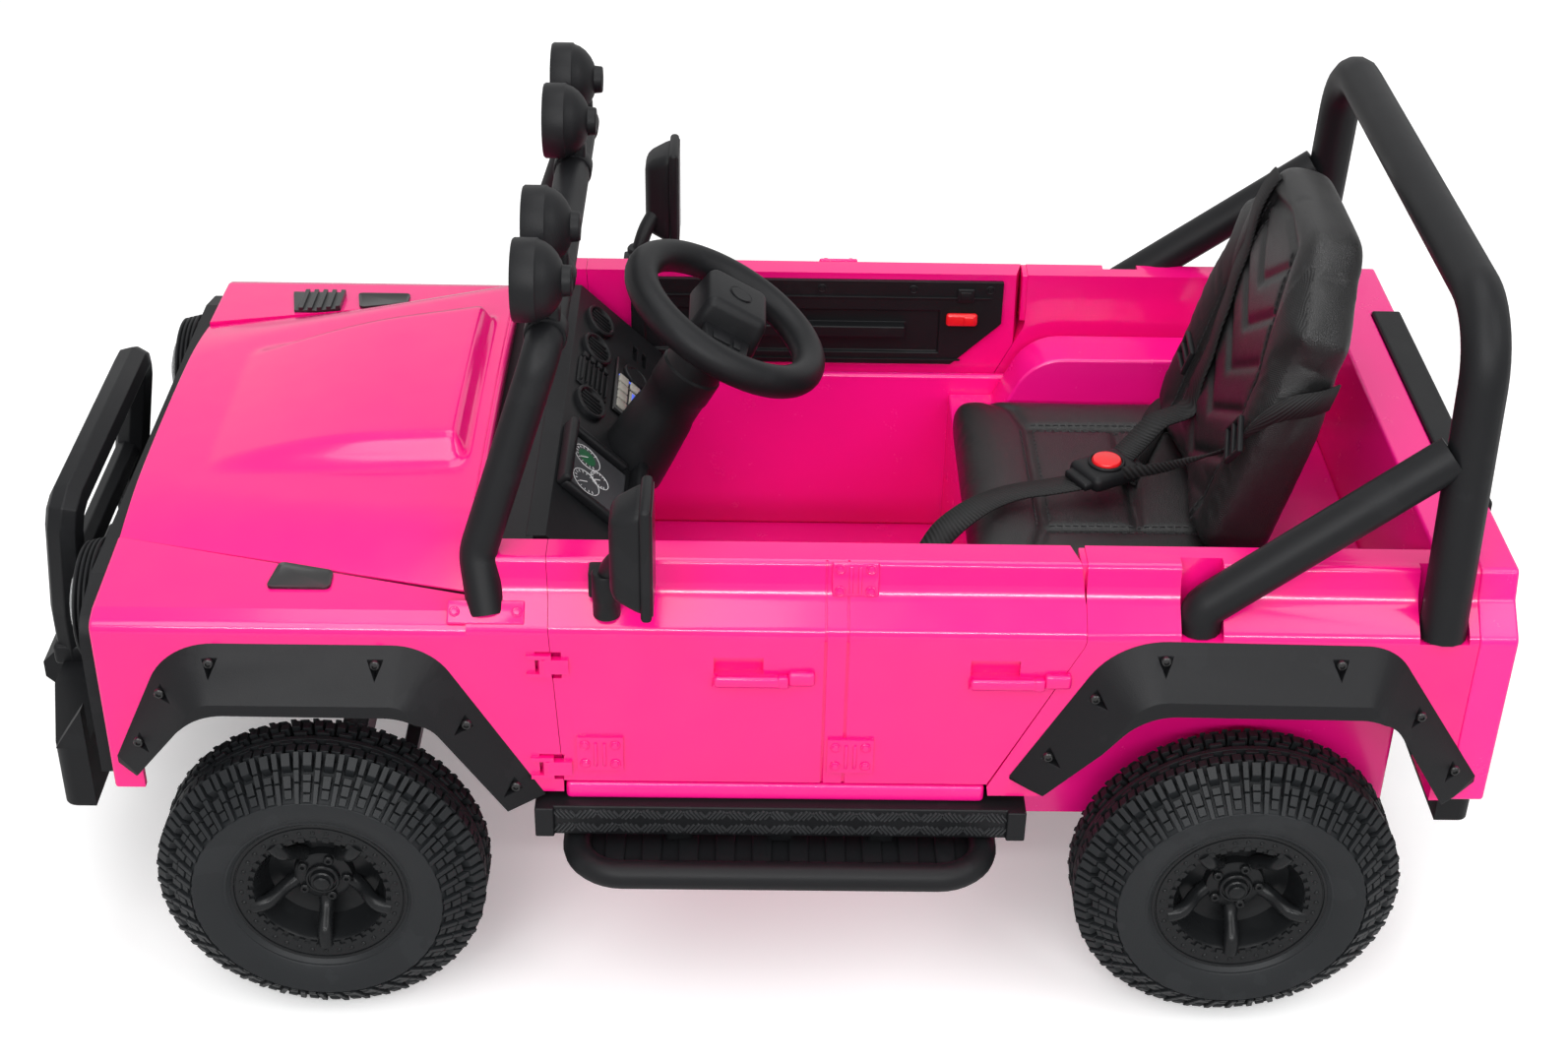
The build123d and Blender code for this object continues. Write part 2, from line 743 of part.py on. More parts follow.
# Bonnet seam in plan, straight from the cowl to the nose
SEAM_REAR_IN = 40.0
SEAM_FRONT_IN = 114.0
seam_rear_y = BODY_HALF_WIDTH - SEAM_REAR_IN
seam_front_y = BODY_HALF_WIDTH - SEAM_FRONT_IN


def bonnet_plan(gap):
    return sharp(
        [
            (COWL_X - gap, seam_rear_y + gap),
            (COWL_X - gap, -seam_rear_y - gap),
            (WING_FRONT_X + gap, -seam_front_y - gap),
            (WING_FRONT_X + gap, seam_front_y + gap),
        ]
    )


wing = cross_plate(wing_section, COWL_X - SKIN, WING_FRONT_X)
wing = wing - plan_plate(bonnet_plan(COWL_GAP), SHOULDER_Z, BODY_TOP_Z)
wing = wing + cross_plate(body_section, DOOR_FRONT_X - DOOR_LEAN, COWL_X - COWL_GAP)
wing = wing - block(DOOR_REAR_X, COWL_X - COWL_GAP, 0, WALL_INNER_Y, 0, BODY_TOP_Z)
wing = wing - side_plate(door_opening(SEAM), 0, PAST)
low_seam = sharp(
    [
        (DOOR_FOOT_X, 0),
        (DOOR_FRONT_X - DOOR_LEAN + SEAM, 0),
        (DOOR_FRONT_X - DOOR_LEAN + SEAM, DOOR_BOTTOM_Z),
        (DOOR_FOOT_X, DOOR_BOTTOM_Z),
    ]
)
wing = wing - side_plate(low_seam, 0, PAST)
wing = wing - arch_opening(front_arch_lip, FRONT_AXLE_X)
for room in hinge_room:
    wing = wing - room
for pin in hinge_pins:
    wing = wing + pin
wing = largest(wing)

# Vents on the wings: mesh plates on both, a louvred intake on the right one
VENT_LONG = 52.0
VENT_BACK = 20.0
VENT_OUT = 43.0
VENT_WIDE = 44.0
VENT_THICK = 3.0
VENT_TAPER = 8.0
LOUVRE_AHEAD = 12.0
LOUVRE_COUNT = 5
LOUVRE_RISE = 3.0
vent_front_x = FRONT_AXLE_X + VENT_LONG / 2 + VENT_BACK / 4
vent_out_y = BODY_HALF_WIDTH - VENT_OUT
wing_slope = WING_CROWN / (WING_EDGE_Y - WING_INNER_Y)


def wing_top(y):
    return WING_TOP_Z + (WING_EDGE_Y - y) * wing_slope


def vent_plate(x_low, x_high, thick, taper):
    """Plate lying on the wing's sloping top, shorter by taper at its inner edge."""
    inner_y = vent_out_y - VENT_WIDE
    section = sharp(
        [
            (inner_y, wing_top(inner_y)),
            (vent_out_y, wing_top(vent_out_y)),
            (vent_out_y, wing_top(vent_out_y) + thick),
            (inner_y, wing_top(inner_y) + thick),
        ]
    )
    plan = sharp(
        [
            (x_low, vent_out_y),
            (x_high, vent_out_y),
            (x_high - taper, inner_y),
            (x_low, inner_y),
        ]
    )
    return cross_plate(section, x_low, x_high) & plan_plate(plan, 0, BODY_TOP_Z)


vent = vent_plate(vent_front_x - VENT_LONG, vent_front_x, VENT_THICK, VENT_TAPER)
louvre_x = vent_front_x + LOUVRE_AHEAD
louvre = vent_plate(louvre_x, louvre_x + VENT_LONG, VENT_THICK, VENT_TAPER)
louvre_pitch = (VENT_LONG - VENT_TAPER) / LOUVRE_COUNT
for slat in range(LOUVRE_COUNT):
    slat_x = louvre_x + slat * louvre_pitch
    slat_end_x = slat_x + louvre_pitch / 2
    louvre = louvre + vent_plate(slat_x, slat_end_x, VENT_THICK + LOUVRE_RISE, 0)
bonnet_room = plan_plate(bonnet_plan(COWL_GAP), SHOULDER_Z, BODY_TOP_Z + PAST)
vent = vent - bonnet_room
louvre = louvre - bonnet_room
save("wing_vents", vent, mirrored(vent), mirrored(louvre))
save_pair("wing", wing)

# Bonnet: tapers and falls towards the front, with a raised scoop
CROWN_REAR_RISE = 6.0
CREASE_REAR_DROP = 2.0
CREASE_REAR_IN = 88.0
CREASE_FRONT_IN = 152.0
CREASE_FRONT_RISE = 10.0
CROWN_FRONT_RISE = 14.0
SEAM_RISE = 4.0


def bonnet_ring(x, crown_z, crease_y, crease_z, seam_y):
    seam_z = WING_TOP_Z + SEAM_RISE
    half = [(seam_y, seam_z - SKIN), (seam_y, seam_z), (crease_y, crease_z)]
    corners = half + [(0, crown_z)] + [(-y, z) for y, z in half[::-1]]
    return [Vector(x, y, z) for y, z in corners]


bonnet = faceted(
    [
        bonnet_ring(
            WING_FRONT_X,
            WING_TOP_Z + CROWN_FRONT_RISE,
            BODY_HALF_WIDTH - CREASE_FRONT_IN,
            WING_TOP_Z + CREASE_FRONT_RISE,
            seam_front_y,
        ),
        bonnet_ring(
            COWL_X,
            BODY_TOP_Z + CROWN_REAR_RISE,
            BODY_HALF_WIDTH - CREASE_REAR_IN,
            BODY_TOP_Z - CREASE_REAR_DROP,
            seam_rear_y,
        ),
    ]
)

# Scoop corners in plan: rows of share from the cowl to the nose, share of body half width
SCOOP_RISE = 18.0
scoop_base = [(0.80, 0.37), (0.035, 0.447)]
scoop_crown = [(0.42, 0.30), (0.10, 0.35)]
bonnet_length = WING_FRONT_X - COWL_X


def scoop_ring(rows, z):
    half = [(COWL_X + along * bonnet_length, out * BODY_HALF_WIDTH) for along, out in rows]
    corners = half + [(x, -y) for x, y in half[::-1]]
    return [Vector(x, y, z) for x, y in corners]


bonnet = bonnet + faceted(
    [scoop_ring(scoop_base, WING_TOP_Z), scoop_ring(scoop_crown, BODY_TOP_Z + SCOOP_RISE)]
)
save("bonnet", bonnet)

# Front panel across the wings: slotted grille between two lamp rings
PANEL_THICK = 12.0
PANEL_IN = 10.0
PANEL_LOW_RISE = 8.0
PANEL_ROUND = 26.0
PANEL_TOP_IN = 66.0
LAMP_IN = 102.0
LAMP_DROP = 38.0
LAMP_RADIUS = 42.0
LAMP_RING = 10.0
LAMP_RING_PROUD = 18.0
LAMP_SIDES = 16
SLOT_COUNT = 7
SLOT_WIDE = 22.0
SLOT_TALL = 92.0
panel_half = BODY_HALF_WIDTH - PANEL_IN
panel_face_x = WING_FRONT_X + PANEL_THICK
lamp_y = BODY_HALF_WIDTH - LAMP_IN
lamp_z = SHOULDER_Z - LAMP_DROP
lamp_ring_radius = LAMP_RADIUS + LAMP_RING
panel_low_z = SKIRT_Z + PANEL_LOW_RISE
front_panel = cross_plate(
    outline(
        both_sides(
            [
                (panel_half, panel_low_z, 0),
                (panel_half, SHOULDER_Z, PANEL_ROUND),
                (BODY_HALF_WIDTH - PANEL_TOP_IN, WING_TOP_Z, 0),
            ]
        )
    ),
    WING_FRONT_X,
    panel_face_x,
)
slot_span = 2 * (lamp_y - lamp_ring_radius)
slot_pitch = slot_span / SLOT_COUNT
for slot in range(SLOT_COUNT):
    slot_y = (slot - (SLOT_COUNT - 1) / 2) * slot_pitch
    front_panel = front_panel - block(
        WING_FRONT_X + PANEL_THICK / 3,
        panel_face_x,
        slot_y - SLOT_WIDE / 2,
        slot_y + SLOT_WIDE / 2,
        lamp_z - SLOT_TALL / 2,
        lamp_z + SLOT_TALL / 2,
    )
for side in (1, -1):
    lamp_place = along_x(panel_face_x, side * lamp_y, lamp_z)
    ring = turned(
        lamp_place,
        [(0, lamp_ring_radius), (LAMP_RING_PROUD, lamp_ring_radius - LAMP_RING / 2)],
        LAMP_SIDES,
    )
    bowl = turned(lamp_place, [(0, LAMP_RADIUS), (LAMP_RING_PROUD, LAMP_RADIUS)], LAMP_SIDES)
    front_panel = front_panel + (ring - bowl)
save("front_panel", front_panel)

# Headlamp lenses: low domes standing in the rings
LENS_PROUD = 32.0
# Rows of share of the lens depth, share of the lens radius
lens_rows = [(0.0, 1.0), (0.6, 1.0), (0.85, 0.82), (1.0, 0.42)]
lenses = []
for side in (1, -1):
    rows = [(depth * LENS_PROUD, share * LAMP_RADIUS) for depth, share in lens_rows]
    lenses.append(turned(along_x(panel_face_x, side * lamp_y, lamp_z), rows, LAMP_SIDES))
save("headlamps", *lenses)

# Front frame under the bonnet, carrying bumper and axle
FRAME_TALL = 31.0
FRAME_GAP = 4.0
FRAME_HALF_WIDTH = 100.0
BUMPER_SET = 32.0
frame_top_z = panel_low_z - FRAME_GAP
frame_low_z = frame_top_z - FRAME_TALL
bumper_rear_x = WING_FRONT_X + BUMPER_SET
front_frame = block(
    FIREWALL_X + SKIN,
    bumper_rear_x,
    -FRAME_HALF_WIDTH,
    FRAME_HALF_WIDTH,
    frame_low_z,
    frame_top_z,
)
save("front_frame", front_frame)

# Bumper: swept-back ends with upturned gussets, and a winch block in the middle
BUMPER_TALL = 62.0
BUMPER_DROP = 27.0
BUMPER_HALF = 262.0
BUMPER_FACE_SHARE = 0.65
BUMPER_END = 26.0
BUMPER_SWEEP = 24.0
WINCH_HALF = 105.0
WINCH_TALL = 44.0
WINCH_LIP = 14.0
GUSSET_RISE = 40.0
GUSSET_THICK = 12.0
bumper_low_z = frame_low_z - BUMPER_DROP
bumper_top_z = bumper_low_z + BUMPER_TALL
end_x = bumper_rear_x + BUMPER_END
bumper_face_y = BUMPER_HALF * BUMPER_FACE_SHARE
front_bumper = plan_plate(
    outline(
        [
            (bumper_rear_x, BUMPER_HALF, 0),
            (end_x, BUMPER_HALF, BUMPER_END / 2),
            (end_x + BUMPER_SWEEP, bumper_face_y, 0),
            (end_x + BUMPER_SWEEP, -bumper_face_y, 0),
            (end_x, -BUMPER_HALF, BUMPER_END / 2),
            (bumper_rear_x, -BUMPER_HALF, 0),
        ]
    ),
    bumper_low_z,
    bumper_top_z,
)
winch = block(
    bumper_rear_x,
    NOSE_X,
    -WINCH_HALF,
    WINCH_HALF,
    bumper_low_z + WINCH_LIP / 2,
    bumper_low_z + WINCH_LIP / 2 + WINCH_TALL,
)
winch_edges = winch.edges().filter_by(Axis.Y).sort_by(Axis.X)[-2:]
front_bumper = front_bumper + chamfer(winch_edges, WINCH_LIP)
gusset_face = sharp(
    [
        (bumper_rear_x, bumper_top_z),
        (end_x, bumper_top_z),
        (bumper_rear_x, bumper_top_z + GUSSET_RISE),
    ]
)
for gusset_y in (BUMPER_HALF - GUSSET_THICK, -BUMPER_HALF):
    front_bumper = front_bumper + side_plate(gusset_face, gusset_y, gusset_y + GUSSET_THICK)
save("front_bumper", front_bumper)

# Bull bar: one bent bar up from the bumper, with a cross bar
BULL_RADIUS = 15.0
BULL_BEND = 24.0
BULL_FOOT_Y = 122.0
BULL_TOP_OUT = 16.0
BULL_KNEE_RISE = 50.0
BULL_RISE = 160.0
BULL_RAKE = 15.0
BULL_SET = 38.5
CROSS_SHARE = 0.42
CROSS_THIN = 0.8
bull_x = NOSE_X - BULL_SET
bull_half = [
    (bull_x, BULL_FOOT_Y, bumper_top_z),
    (bull_x, BULL_FOOT_Y, bumper_top_z + BULL_KNEE_RISE),
    (bull_x - BULL_RAKE, BULL_FOOT_Y + BULL_TOP_OUT, bumper_top_z + BULL_RISE),
]
bull_run = bull_half + [(x, -y, z) for x, y, z in bull_half[::-1]]
bull_bar = tube(bull_run, BULL_BEND, BULL_RADIUS)
cross_z = bumper_top_z + CROSS_SHARE * BULL_RISE
bull_bar = bull_bar + tube(
    [(bull_x, -BULL_FOOT_Y, cross_z), (bull_x, BULL_FOOT_Y, cross_z)], 0, BULL_RADIUS * CROSS_THIN
)
save("bull_bar", bull_bar)

# Firewall, floor, tub walls with rockers under the doors, seat platform
firewall = block(FIREWALL_X, FIREWALL_X + SKIN, -TUB_Y, TUB_Y, FLOOR_Z - SKIN, DASH_LOW_Z)
floor_pan = block(RISER_X, FIREWALL_X, -TUB_Y, TUB_Y, FLOOR_Z - SKIN, FLOOR_Z)
save("firewall", firewall)
save("floor_pan", floor_pan)

SILL_GAP = 8.0
SILL_TALL = 30.0
SILL_PROUD = 10.0
sill_top_z = SKIRT_Z - SILL_GAP
sill_low_z = sill_top_z - SILL_TALL
sill_front_x = DOOR_FRONT_X + FIREWALL_SET
sill_rear_x = DOOR_FOOT_X - DOOR_REAR_RAKE / 2
rocker_front_x = DOOR_FRONT_X - DOOR_LEAN
tub_wall = block(REAR_WALL_X, FIREWALL_X, TUB_INNER_Y, TUB_Y, FLOOR_Z, TUB_TOP_Z)
tub_wall = tub_wall + block(
    DOOR_FOOT_X,
    rocker_front_x,
    TUB_Y,
    BODY_HALF_WIDTH,
    sill_top_z,
    DOOR_BOTTOM_Z - SEAM,
)
save("tub_walls", tub_wall, mirrored(tub_wall))

BULGE_RISE = 68.0
BULGE_WIDE = 52.0
BULGE_LEAD = 40.0
BULGE_RAMP = 35.0
BULGE_ROUND = 50.0
bulge_front_x = RISER_X - BULGE_LEAD
bulge_top_z = PLATFORM_Z + BULGE_RISE
arch_bulge = side_plate(
    outline(
        [
            (bulge_front_x, PLATFORM_Z - SKIN, 0),
            (bulge_front_x - BULGE_RAMP, bulge_top_z, BULGE_ROUND),
            (REAR_WALL_X, bulge_top_z, 0),
            (REAR_WALL_X, PLATFORM_Z - SKIN, 0),
        ]
    ),
    TUB_INNER_Y - BULGE_WIDE,
    TUB_INNER_Y,
)
platform = block(REAR_WALL_X, RISER_X, -TUB_INNER_Y, TUB_INNER_Y, PLATFORM_Z - SKIN, PLATFORM_Z)
platform = platform + block(
    RISER_X - SKIN, RISER_X, -TUB_INNER_Y, TUB_INNER_Y, FLOOR_Z, PLATFORM_Z
)
platform = platform + arch_bulge + mirrored(arch_bulge)
save("seat_platform", platform)

# Rear panel with its ledge, tailgate, lamps and bumper
rear_outline = outline(
    both_sides(
        [
            (BODY_HALF_WIDTH, SKIRT_Z, 0),
            (BODY_HALF_WIDTH, SHOULDER_TOP_Z, SHOULDER_ROUND),
            (CREASE_Y, CREASE_Z, 0),
            (RAIL_Y, BODY_TOP_Z, EDGE_ROUND),
        ]
    )
)
TAILGATE_SHARE = 0.57
TAILGATE_RISE = 20.0
TAILGATE_PROUD = 3.0
GATE_FRAME = 24.0
GATE_RECESS = 8.0
gate_half = BODY_HALF_WIDTH * TAILGATE_SHARE
gate_low_z = SKIRT_Z + TAILGATE_RISE
gate_face_x = REAR_FACE_X - TAILGATE_PROUD
gate_back_x = QUARTER_REAR_X - GATE_RECESS
gate_top_z = BODY_TOP_Z + TAILGATE_PROUD
gate_slot = block(gate_face_x, gate_back_x, -gate_half, gate_half, gate_low_z, gate_top_z)
rear_panel = cross_plate(rear_outline, REAR_FACE_X, QUARTER_REAR_X)
rear_panel = rear_panel + block(
    QUARTER_REAR_X,
    REAR_WALL_X,
    -WALL_INNER_Y,
    WALL_INNER_Y,
    PLATFORM_Z - SKIN,
    BODY_TOP_Z,
)
rear_panel = largest(rear_panel - gate_slot - hoop)
save("rear_panel", rear_panel)
tailgate = gate_slot - block(
    gate_face_x,
    gate_face_x + GATE_RECESS,
    -gate_half + GATE_FRAME,
    gate_half - GATE_FRAME,
    gate_low_z + GATE_FRAME,
    gate_top_z - GATE_FRAME,
)
save("tailgate", tailgate)

TAIL_LAMP_IN = 52.0
TAIL_LAMP_PROUD = 8.0
TAIL_LAMP_TAPER = 0.8
TAIL_LAMP_SIDES = 8
# Rows of height above the skirt, radius
tail_lamp_rows = [(144.0, 19.0), (52.0, 13.0), (22.0, 13.0)]
tail_lamps = []
for rise, radius in tail_lamp_rows:
    for side in (1, -1):
        place = along_x(REAR_FACE_X, side * (BODY_HALF_WIDTH - TAIL_LAMP_IN), SKIRT_Z + rise)
        rows = [(0, radius), (-TAIL_LAMP_PROUD, radius * TAIL_LAMP_TAPER)]
        tail_lamps.append(turned(place, rows, TAIL_LAMP_SIDES))
save("rear_lamps", *tail_lamps)

REAR_BUMPER_DEEP = 42.5
REAR_BUMPER_TALL = 48.0
REAR_BUMPER_IN = 32.0
REAR_FACE_SHARE = 0.74
REAR_BUMPER_SWEEP = 14.0
REAR_BUMPER_ROUND = 10.0
rear_bumper_half = BODY_HALF_WIDTH - REAR_BUMPER_IN
rear_bumper_face_y = rear_bumper_half * REAR_FACE_SHARE
rear_bumper = plan_plate(
    outline(
        [
            (TAIL_X + REAR_BUMPER_DEEP, rear_bumper_half, 0),
            (TAIL_X + REAR_BUMPER_SWEEP, rear_bumper_half, REAR_BUMPER_ROUND),
            (TAIL_X, rear_bumper_face_y, 0),
            (TAIL_X, -rear_bumper_face_y, 0),
            (TAIL_X + REAR_BUMPER_SWEEP, -rear_bumper_half, REAR_BUMPER_ROUND),
            (TAIL_X + REAR_BUMPER_DEEP, -rear_bumper_half, 0),
        ]
    ),
    SKIRT_Z - REAR_BUMPER_TALL,
    SKIRT_Z,
)
save("rear_bumper", rear_bumper)

# Sills with end blocks, and side steps: a bent tube round a slotted tread
SILL_END = 16.0
SILL_END_PROUD = 4.0
sill_face_y = BODY_HALF_WIDTH + SILL_PROUD
sill = block(sill_rear_x, sill_front_x, TUB_Y, sill_face_y, sill_low_z, sill_top_z)
for end_low_x in (sill_rear_x, sill_front_x - SILL_END):
    sill = sill + block(
        end_low_x,
        end_low_x + SILL_END,
        sill_face_y,
        sill_face_y + SILL_END_PROUD,
        sill_low_z,
        sill_top_z,
    )
save("sills", sill, mirrored(sill))

STEP_RADIUS = 12.0
STEP_BEND = 40.0
STEP_OUT = 33.0
STEP_DROP = 30.0
STEP_END = 34.0
TREAD_THICK = 6.0
TREAD_SLOTS = 7
TREAD_SLOT_LONG = 14.0
TREAD_SLOT_WIDE = 12.0
step_y = sill_face_y + STEP_OUT
step_z = sill_low_z - STEP_DROP / 2
step_front_x = sill_front_x - STEP_END
step_rear_x = sill_rear_x + STEP_END
step_root_y = sill_face_y - STEP_OUT
step = tube(
    [
        (step_front_x, step_root_y, step_z),
        (step_front_x, step_y, step_z),
        (step_rear_x, step_y, step_z),
        (step_rear_x, step_root_y, step_z),
    ],
    STEP_BEND,
    STEP_RADIUS,
)
tread = block(
    step_rear_x,
    step_front_x,
    step_root_y,
    step_y - STEP_RADIUS / 2,
    step_z - TREAD_THICK / 2,
    step_z + TREAD_THICK / 2,
)
slot_run = step_front_x - step_rear_x - 2 * STEP_BEND
for slot in range(TREAD_SLOTS):
    slot_x = step_rear_x + STEP_BEND + (slot + 0.5) * slot_run / TREAD_SLOTS
    tread = tread - block(
        slot_x - TREAD_SLOT_LONG / 2,
        slot_x + TREAD_SLOT_LONG / 2,
        sill_face_y,
        sill_face_y + TREAD_SLOT_WIDE,
        step_z - STEP_DROP,
        step_z + STEP_DROP,
    )
step = step + tread
BRACKET_HALF = 11.0
BRACKET_COUNT = 3
bracket_run = (step_front_x - step_rear_x) / (BRACKET_COUNT + 1)
for bracket in range(BRACKET_COUNT):
    bracket_x = step_rear_x + (bracket + 1) * bracket_run
    step = step + block(
        bracket_x - BRACKET_HALF,
        bracket_x + BRACKET_HALF,
        step_root_y,
        sill_face_y - SILL_PROUD,
        step_z,
        sill_low_z,
    )
save_pair("step", step)

# Windscreen frame with four lamps on its top bar
SCREEN_RADIUS = 14.0
SCREEN_BEND = 30.0
SCREEN_FOOT_BACK = 18.0
SCREEN_FOOT_IN = 16.0
SCREEN_KNEE_IN = 40.0
SCREEN_TOP_IN = 74.0
SCREEN_RISE = 168.0
SCREEN_RAKE = 56.0
KNEE_AHEAD = 8.0
screen_foot_x = COWL_X - SCREEN_FOOT_BACK
screen_top_x = screen_foot_x + KNEE_AHEAD - SCREEN_RAKE
screen_top_z = BODY_TOP_Z + SCREEN_RISE
screen_half = [
    (screen_foot_x, BODY_HALF_WIDTH - SCREEN_FOOT_IN, SHOULDER_TOP_Z),
    (screen_foot_x + KNEE_AHEAD, BODY_HALF_WIDTH - SCREEN_KNEE_IN, BODY_TOP_Z),
    (screen_top_x, BODY_HALF_WIDTH - SCREEN_TOP_IN, screen_top_z),
]
screen_run = screen_half + [(x, -y, z) for x, y, z in screen_half[::-1]]
screen = tube(screen_run, SCREEN_BEND, SCREEN_RADIUS)
screen = largest(screen - wing - mirrored(wing))
save("windscreen_frame", screen)

LAMP_POD_RISE = 45.0
LAMP_POD_RADIUS = 33.0
LAMP_POD_SIDES = 9
CLIP_HALF = 9.0
# Places of the lamps, as shares of the frame's half width
pod_places = (0.47, 0.89)
# Pod rows: share of the radius ahead of the bar, share of the radius
pod_rows = [(0.73, 0.85), (0.67, 1.0), (0.20, 1.0), (-0.40, 0.60), (-0.67, 0.40)]
pod_z = screen_top_z + LAMP_POD_RISE
roof_lamps = []
for share in pod_places:
    pod_y = share * (BODY_HALF_WIDTH - SCREEN_TOP_IN)
    rows = [(ahead * LAMP_POD_RADIUS, out * LAMP_POD_RADIUS) for ahead, out in pod_rows]
    pod = turned(along_x(screen_top_x, pod_y, pod_z), rows, LAMP_POD_SIDES)
    clip = block(
        screen_top_x - CLIP_HALF,
        screen_top_x + CLIP_HALF,
        pod_y - CLIP_HALF,
        pod_y + CLIP_HALF,
        screen_top_z,
        pod_z - LAMP_POD_RADIUS / 2,
    )
    pod = largest(pod + clip - screen)
    roof_lamps.append(pod)
    roof_lamps.append(mirrored(pod))
save("roof_lamps", *roof_lamps)

# Dashboard: raked face, two open bays on the left, slatted vents on the right
STEER_BACK = 153.5
STEER_RISE = 76.0
COLUMN_LEAN = 30.0
COLUMN_RADIUS = 27.0
COLUMN_LOW = 180.0
COLUMN_TOP = 24.0
COLUMN_COLLAR = 32.0
COLLAR_SHARE = 0.6
COLUMN_PLAY = 0.05
COLUMN_SIDES = 12
DASH_DEEP = 87.0
DASH_FOOT = 4.0
DASH_SHELF_DROP = 8.0
DASH_FACE_DROP = 82.0
DASH_LEDGE = 16.0
DASH_SIDE_GAP = 4.0
dash_front_x = FIREWALL_X + SKIN
dash_top_z = BODY_TOP_Z - DASH_SHELF_DROP
dash_rear_x = FIREWALL_X - DASH_DEEP
dash_lip_z = BODY_TOP_Z - DASH_FACE_DROP
dash_half = TUB_INNER_Y - DASH_SIDE_GAP
steer_place = Pos(FIREWALL_X - STEER_BACK, 0, BODY_TOP_Z + STEER_RISE) * Rot(0, -COLUMN_LEAN, 0)
column_outer = turned(
    steer_place,
    [
        (-COLUMN_LOW, COLUMN_COLLAR),
        (-COLUMN_LOW * COLLAR_SHARE, COLUMN_RADIUS),
        (-COLUMN_TOP, COLUMN_RADIUS),
    ],
    COLUMN_SIDES,
)
dash = side_plate(
    sharp(
        [
            (dash_rear_x + DASH_FOOT, DASH_LOW_Z),
            (dash_front_x, DASH_LOW_Z),
            (dash_front_x, dash_top_z),
            (dash_front_x - DASH_LEDGE, dash_top_z),
            (dash_rear_x, dash_lip_z),
        ]
    ),
    -dash_half,
    dash_half,
)
dash = dash + side_plate(
    sharp(
        [
            (FIREWALL_X, dash_lip_z),
            (COWL_X - COWL_GAP, dash_lip_z),
            (COWL_X - COWL_GAP, dash_top_z - DASH_SHELF_DROP),
            (FIREWALL_X, dash_top_z),
        ]
    ),
    -WALL_INNER_Y,
    WALL_INNER_Y,
)
BAY_DEEP = 60.0
BAY_WALL = 12.0
BAY_NEAR = 0.36
bay_span = (dash_half - BAY_WALL) - BAY_NEAR * dash_half
bay_wide = (bay_span - BAY_WALL) / 2
for bay in (0, 1):
    bay_low_y = BAY_NEAR * dash_half + bay * (bay_wide + BAY_WALL)
    dash = dash - block(
        dash_rear_x - BAY_WALL,
        dash_rear_x + BAY_DEEP,
        bay_low_y,
        bay_low_y + bay_wide,
        DASH_LOW_Z + BAY_WALL,
        dash_lip_z - BAY_WALL,
    )
face_run = Vector(dash_front_x - DASH_LEDGE - dash_rear_x, 0, dash_top_z - dash_lip_z)
face_mid = Vector(dash_rear_x, 0, dash_lip_z) + face_run / 2
face_normal = Vector(-face_run.Z, 0, face_run.X).normalized()
dash_face = Plane(tuple(face_mid), x_dir=(0, 1, 0), z_dir=tuple(face_normal))
# Dash vents, as shares of the dash from the middle to its right end
dash_vent_places = (0.30, 0.55, 0.80)
VENT_SLOT = 26.0
VENT_SLAT = 12.0
VENT_GROOVE = 6.0
vent_row = face_run.length / 4
for share in dash_vent_places:
    for slat_rise in (-VENT_SLAT / 2, VENT_SLAT / 2):
        slot_at = Pos(-share * dash_half, vent_row + slat_rise, 0)
        dash = dash - dash_face * (slot_at * Box(VENT_SLOT, VENT_SLAT / 2, 2 * VENT_GROOVE))
dash = dash - column_outer
save("dashboard", dash)

# Panels on the dash face: rows of name, share across, share up, width, height
PANEL_PROUD = 3.0
dash_panels = [
    ("gauge_panel", 0.40, 0.10, 78.0, 62.0),
    ("radio_panel", -0.42, -0.20, 96.0, 44.0),
]
for panel_name, across, up, wide, tall in dash_panels:
    spot = Pos(across * dash_half, up * face_run.length, PANEL_PROUD / 2)
    panel = Box(wide, tall, PANEL_PROUD)
    panel = chamfer(panel.edges().filter_by(Axis.Z), PANEL_PROUD * 2)
    save(panel_name, dash_face * (spot * panel))

# Steering wheel: thick rim, two side spokes, horn pad
STEER_WHEEL_RADIUS = 85.0
STEER_RIM_RADIUS = 15.0
STEER_SIDES = 16
SPOKE_DEEP = 46.0
SPOKE_THICK = 12.0
PAD_LONG = 64.0
PAD_WIDE = 70.0
PAD_THICK = 26.0
PAD_EDGE = 8.0
SHAFT_RADIUS = 9.0
SHAFT_LONG = 60.0
RIM_FACETS = 6
rim_outer = []
rim_inner = []
for facet in range(RIM_FACETS // 2 + 1):
    turn = math.pi * (facet / (RIM_FACETS // 2) - 0.5)
    rise = STEER_RIM_RADIUS * math.sin(turn)
    reach = STEER_RIM_RADIUS * math.cos(turn)
    rim_outer.append((rise, STEER_WHEEL_RADIUS + reach))
    rim_inner.append((rise, STEER_WHEEL_RADIUS - reach))
crown = STEER_RIM_RADIUS / RIM_FACETS
rim_outer[0] = (rim_outer[0][0], STEER_WHEEL_RADIUS + crown)
rim_outer[-1] = (rim_outer[-1][0], STEER_WHEEL_RADIUS + crown)
rim_inner[0] = (rim_inner[0][0], STEER_WHEEL_RADIUS - crown)
rim_inner[-1] = (rim_inner[-1][0], STEER_WHEEL_RADIUS - crown)
wheel_rim = turned(Pos(0, 0, 0), rim_outer, STEER_SIDES) - turned(Pos(0, 0, 0), rim_inner, STEER_SIDES)
spokes = Box(SPOKE_DEEP, 2 * STEER_WHEEL_RADIUS, SPOKE_THICK)
pad = Pos(0, 0, SPOKE_THICK / 2) * Box(PAD_LONG, PAD_WIDE, PAD_THICK)
pad = chamfer(pad.edges().group_by(Axis.Z)[-1], PAD_EDGE)
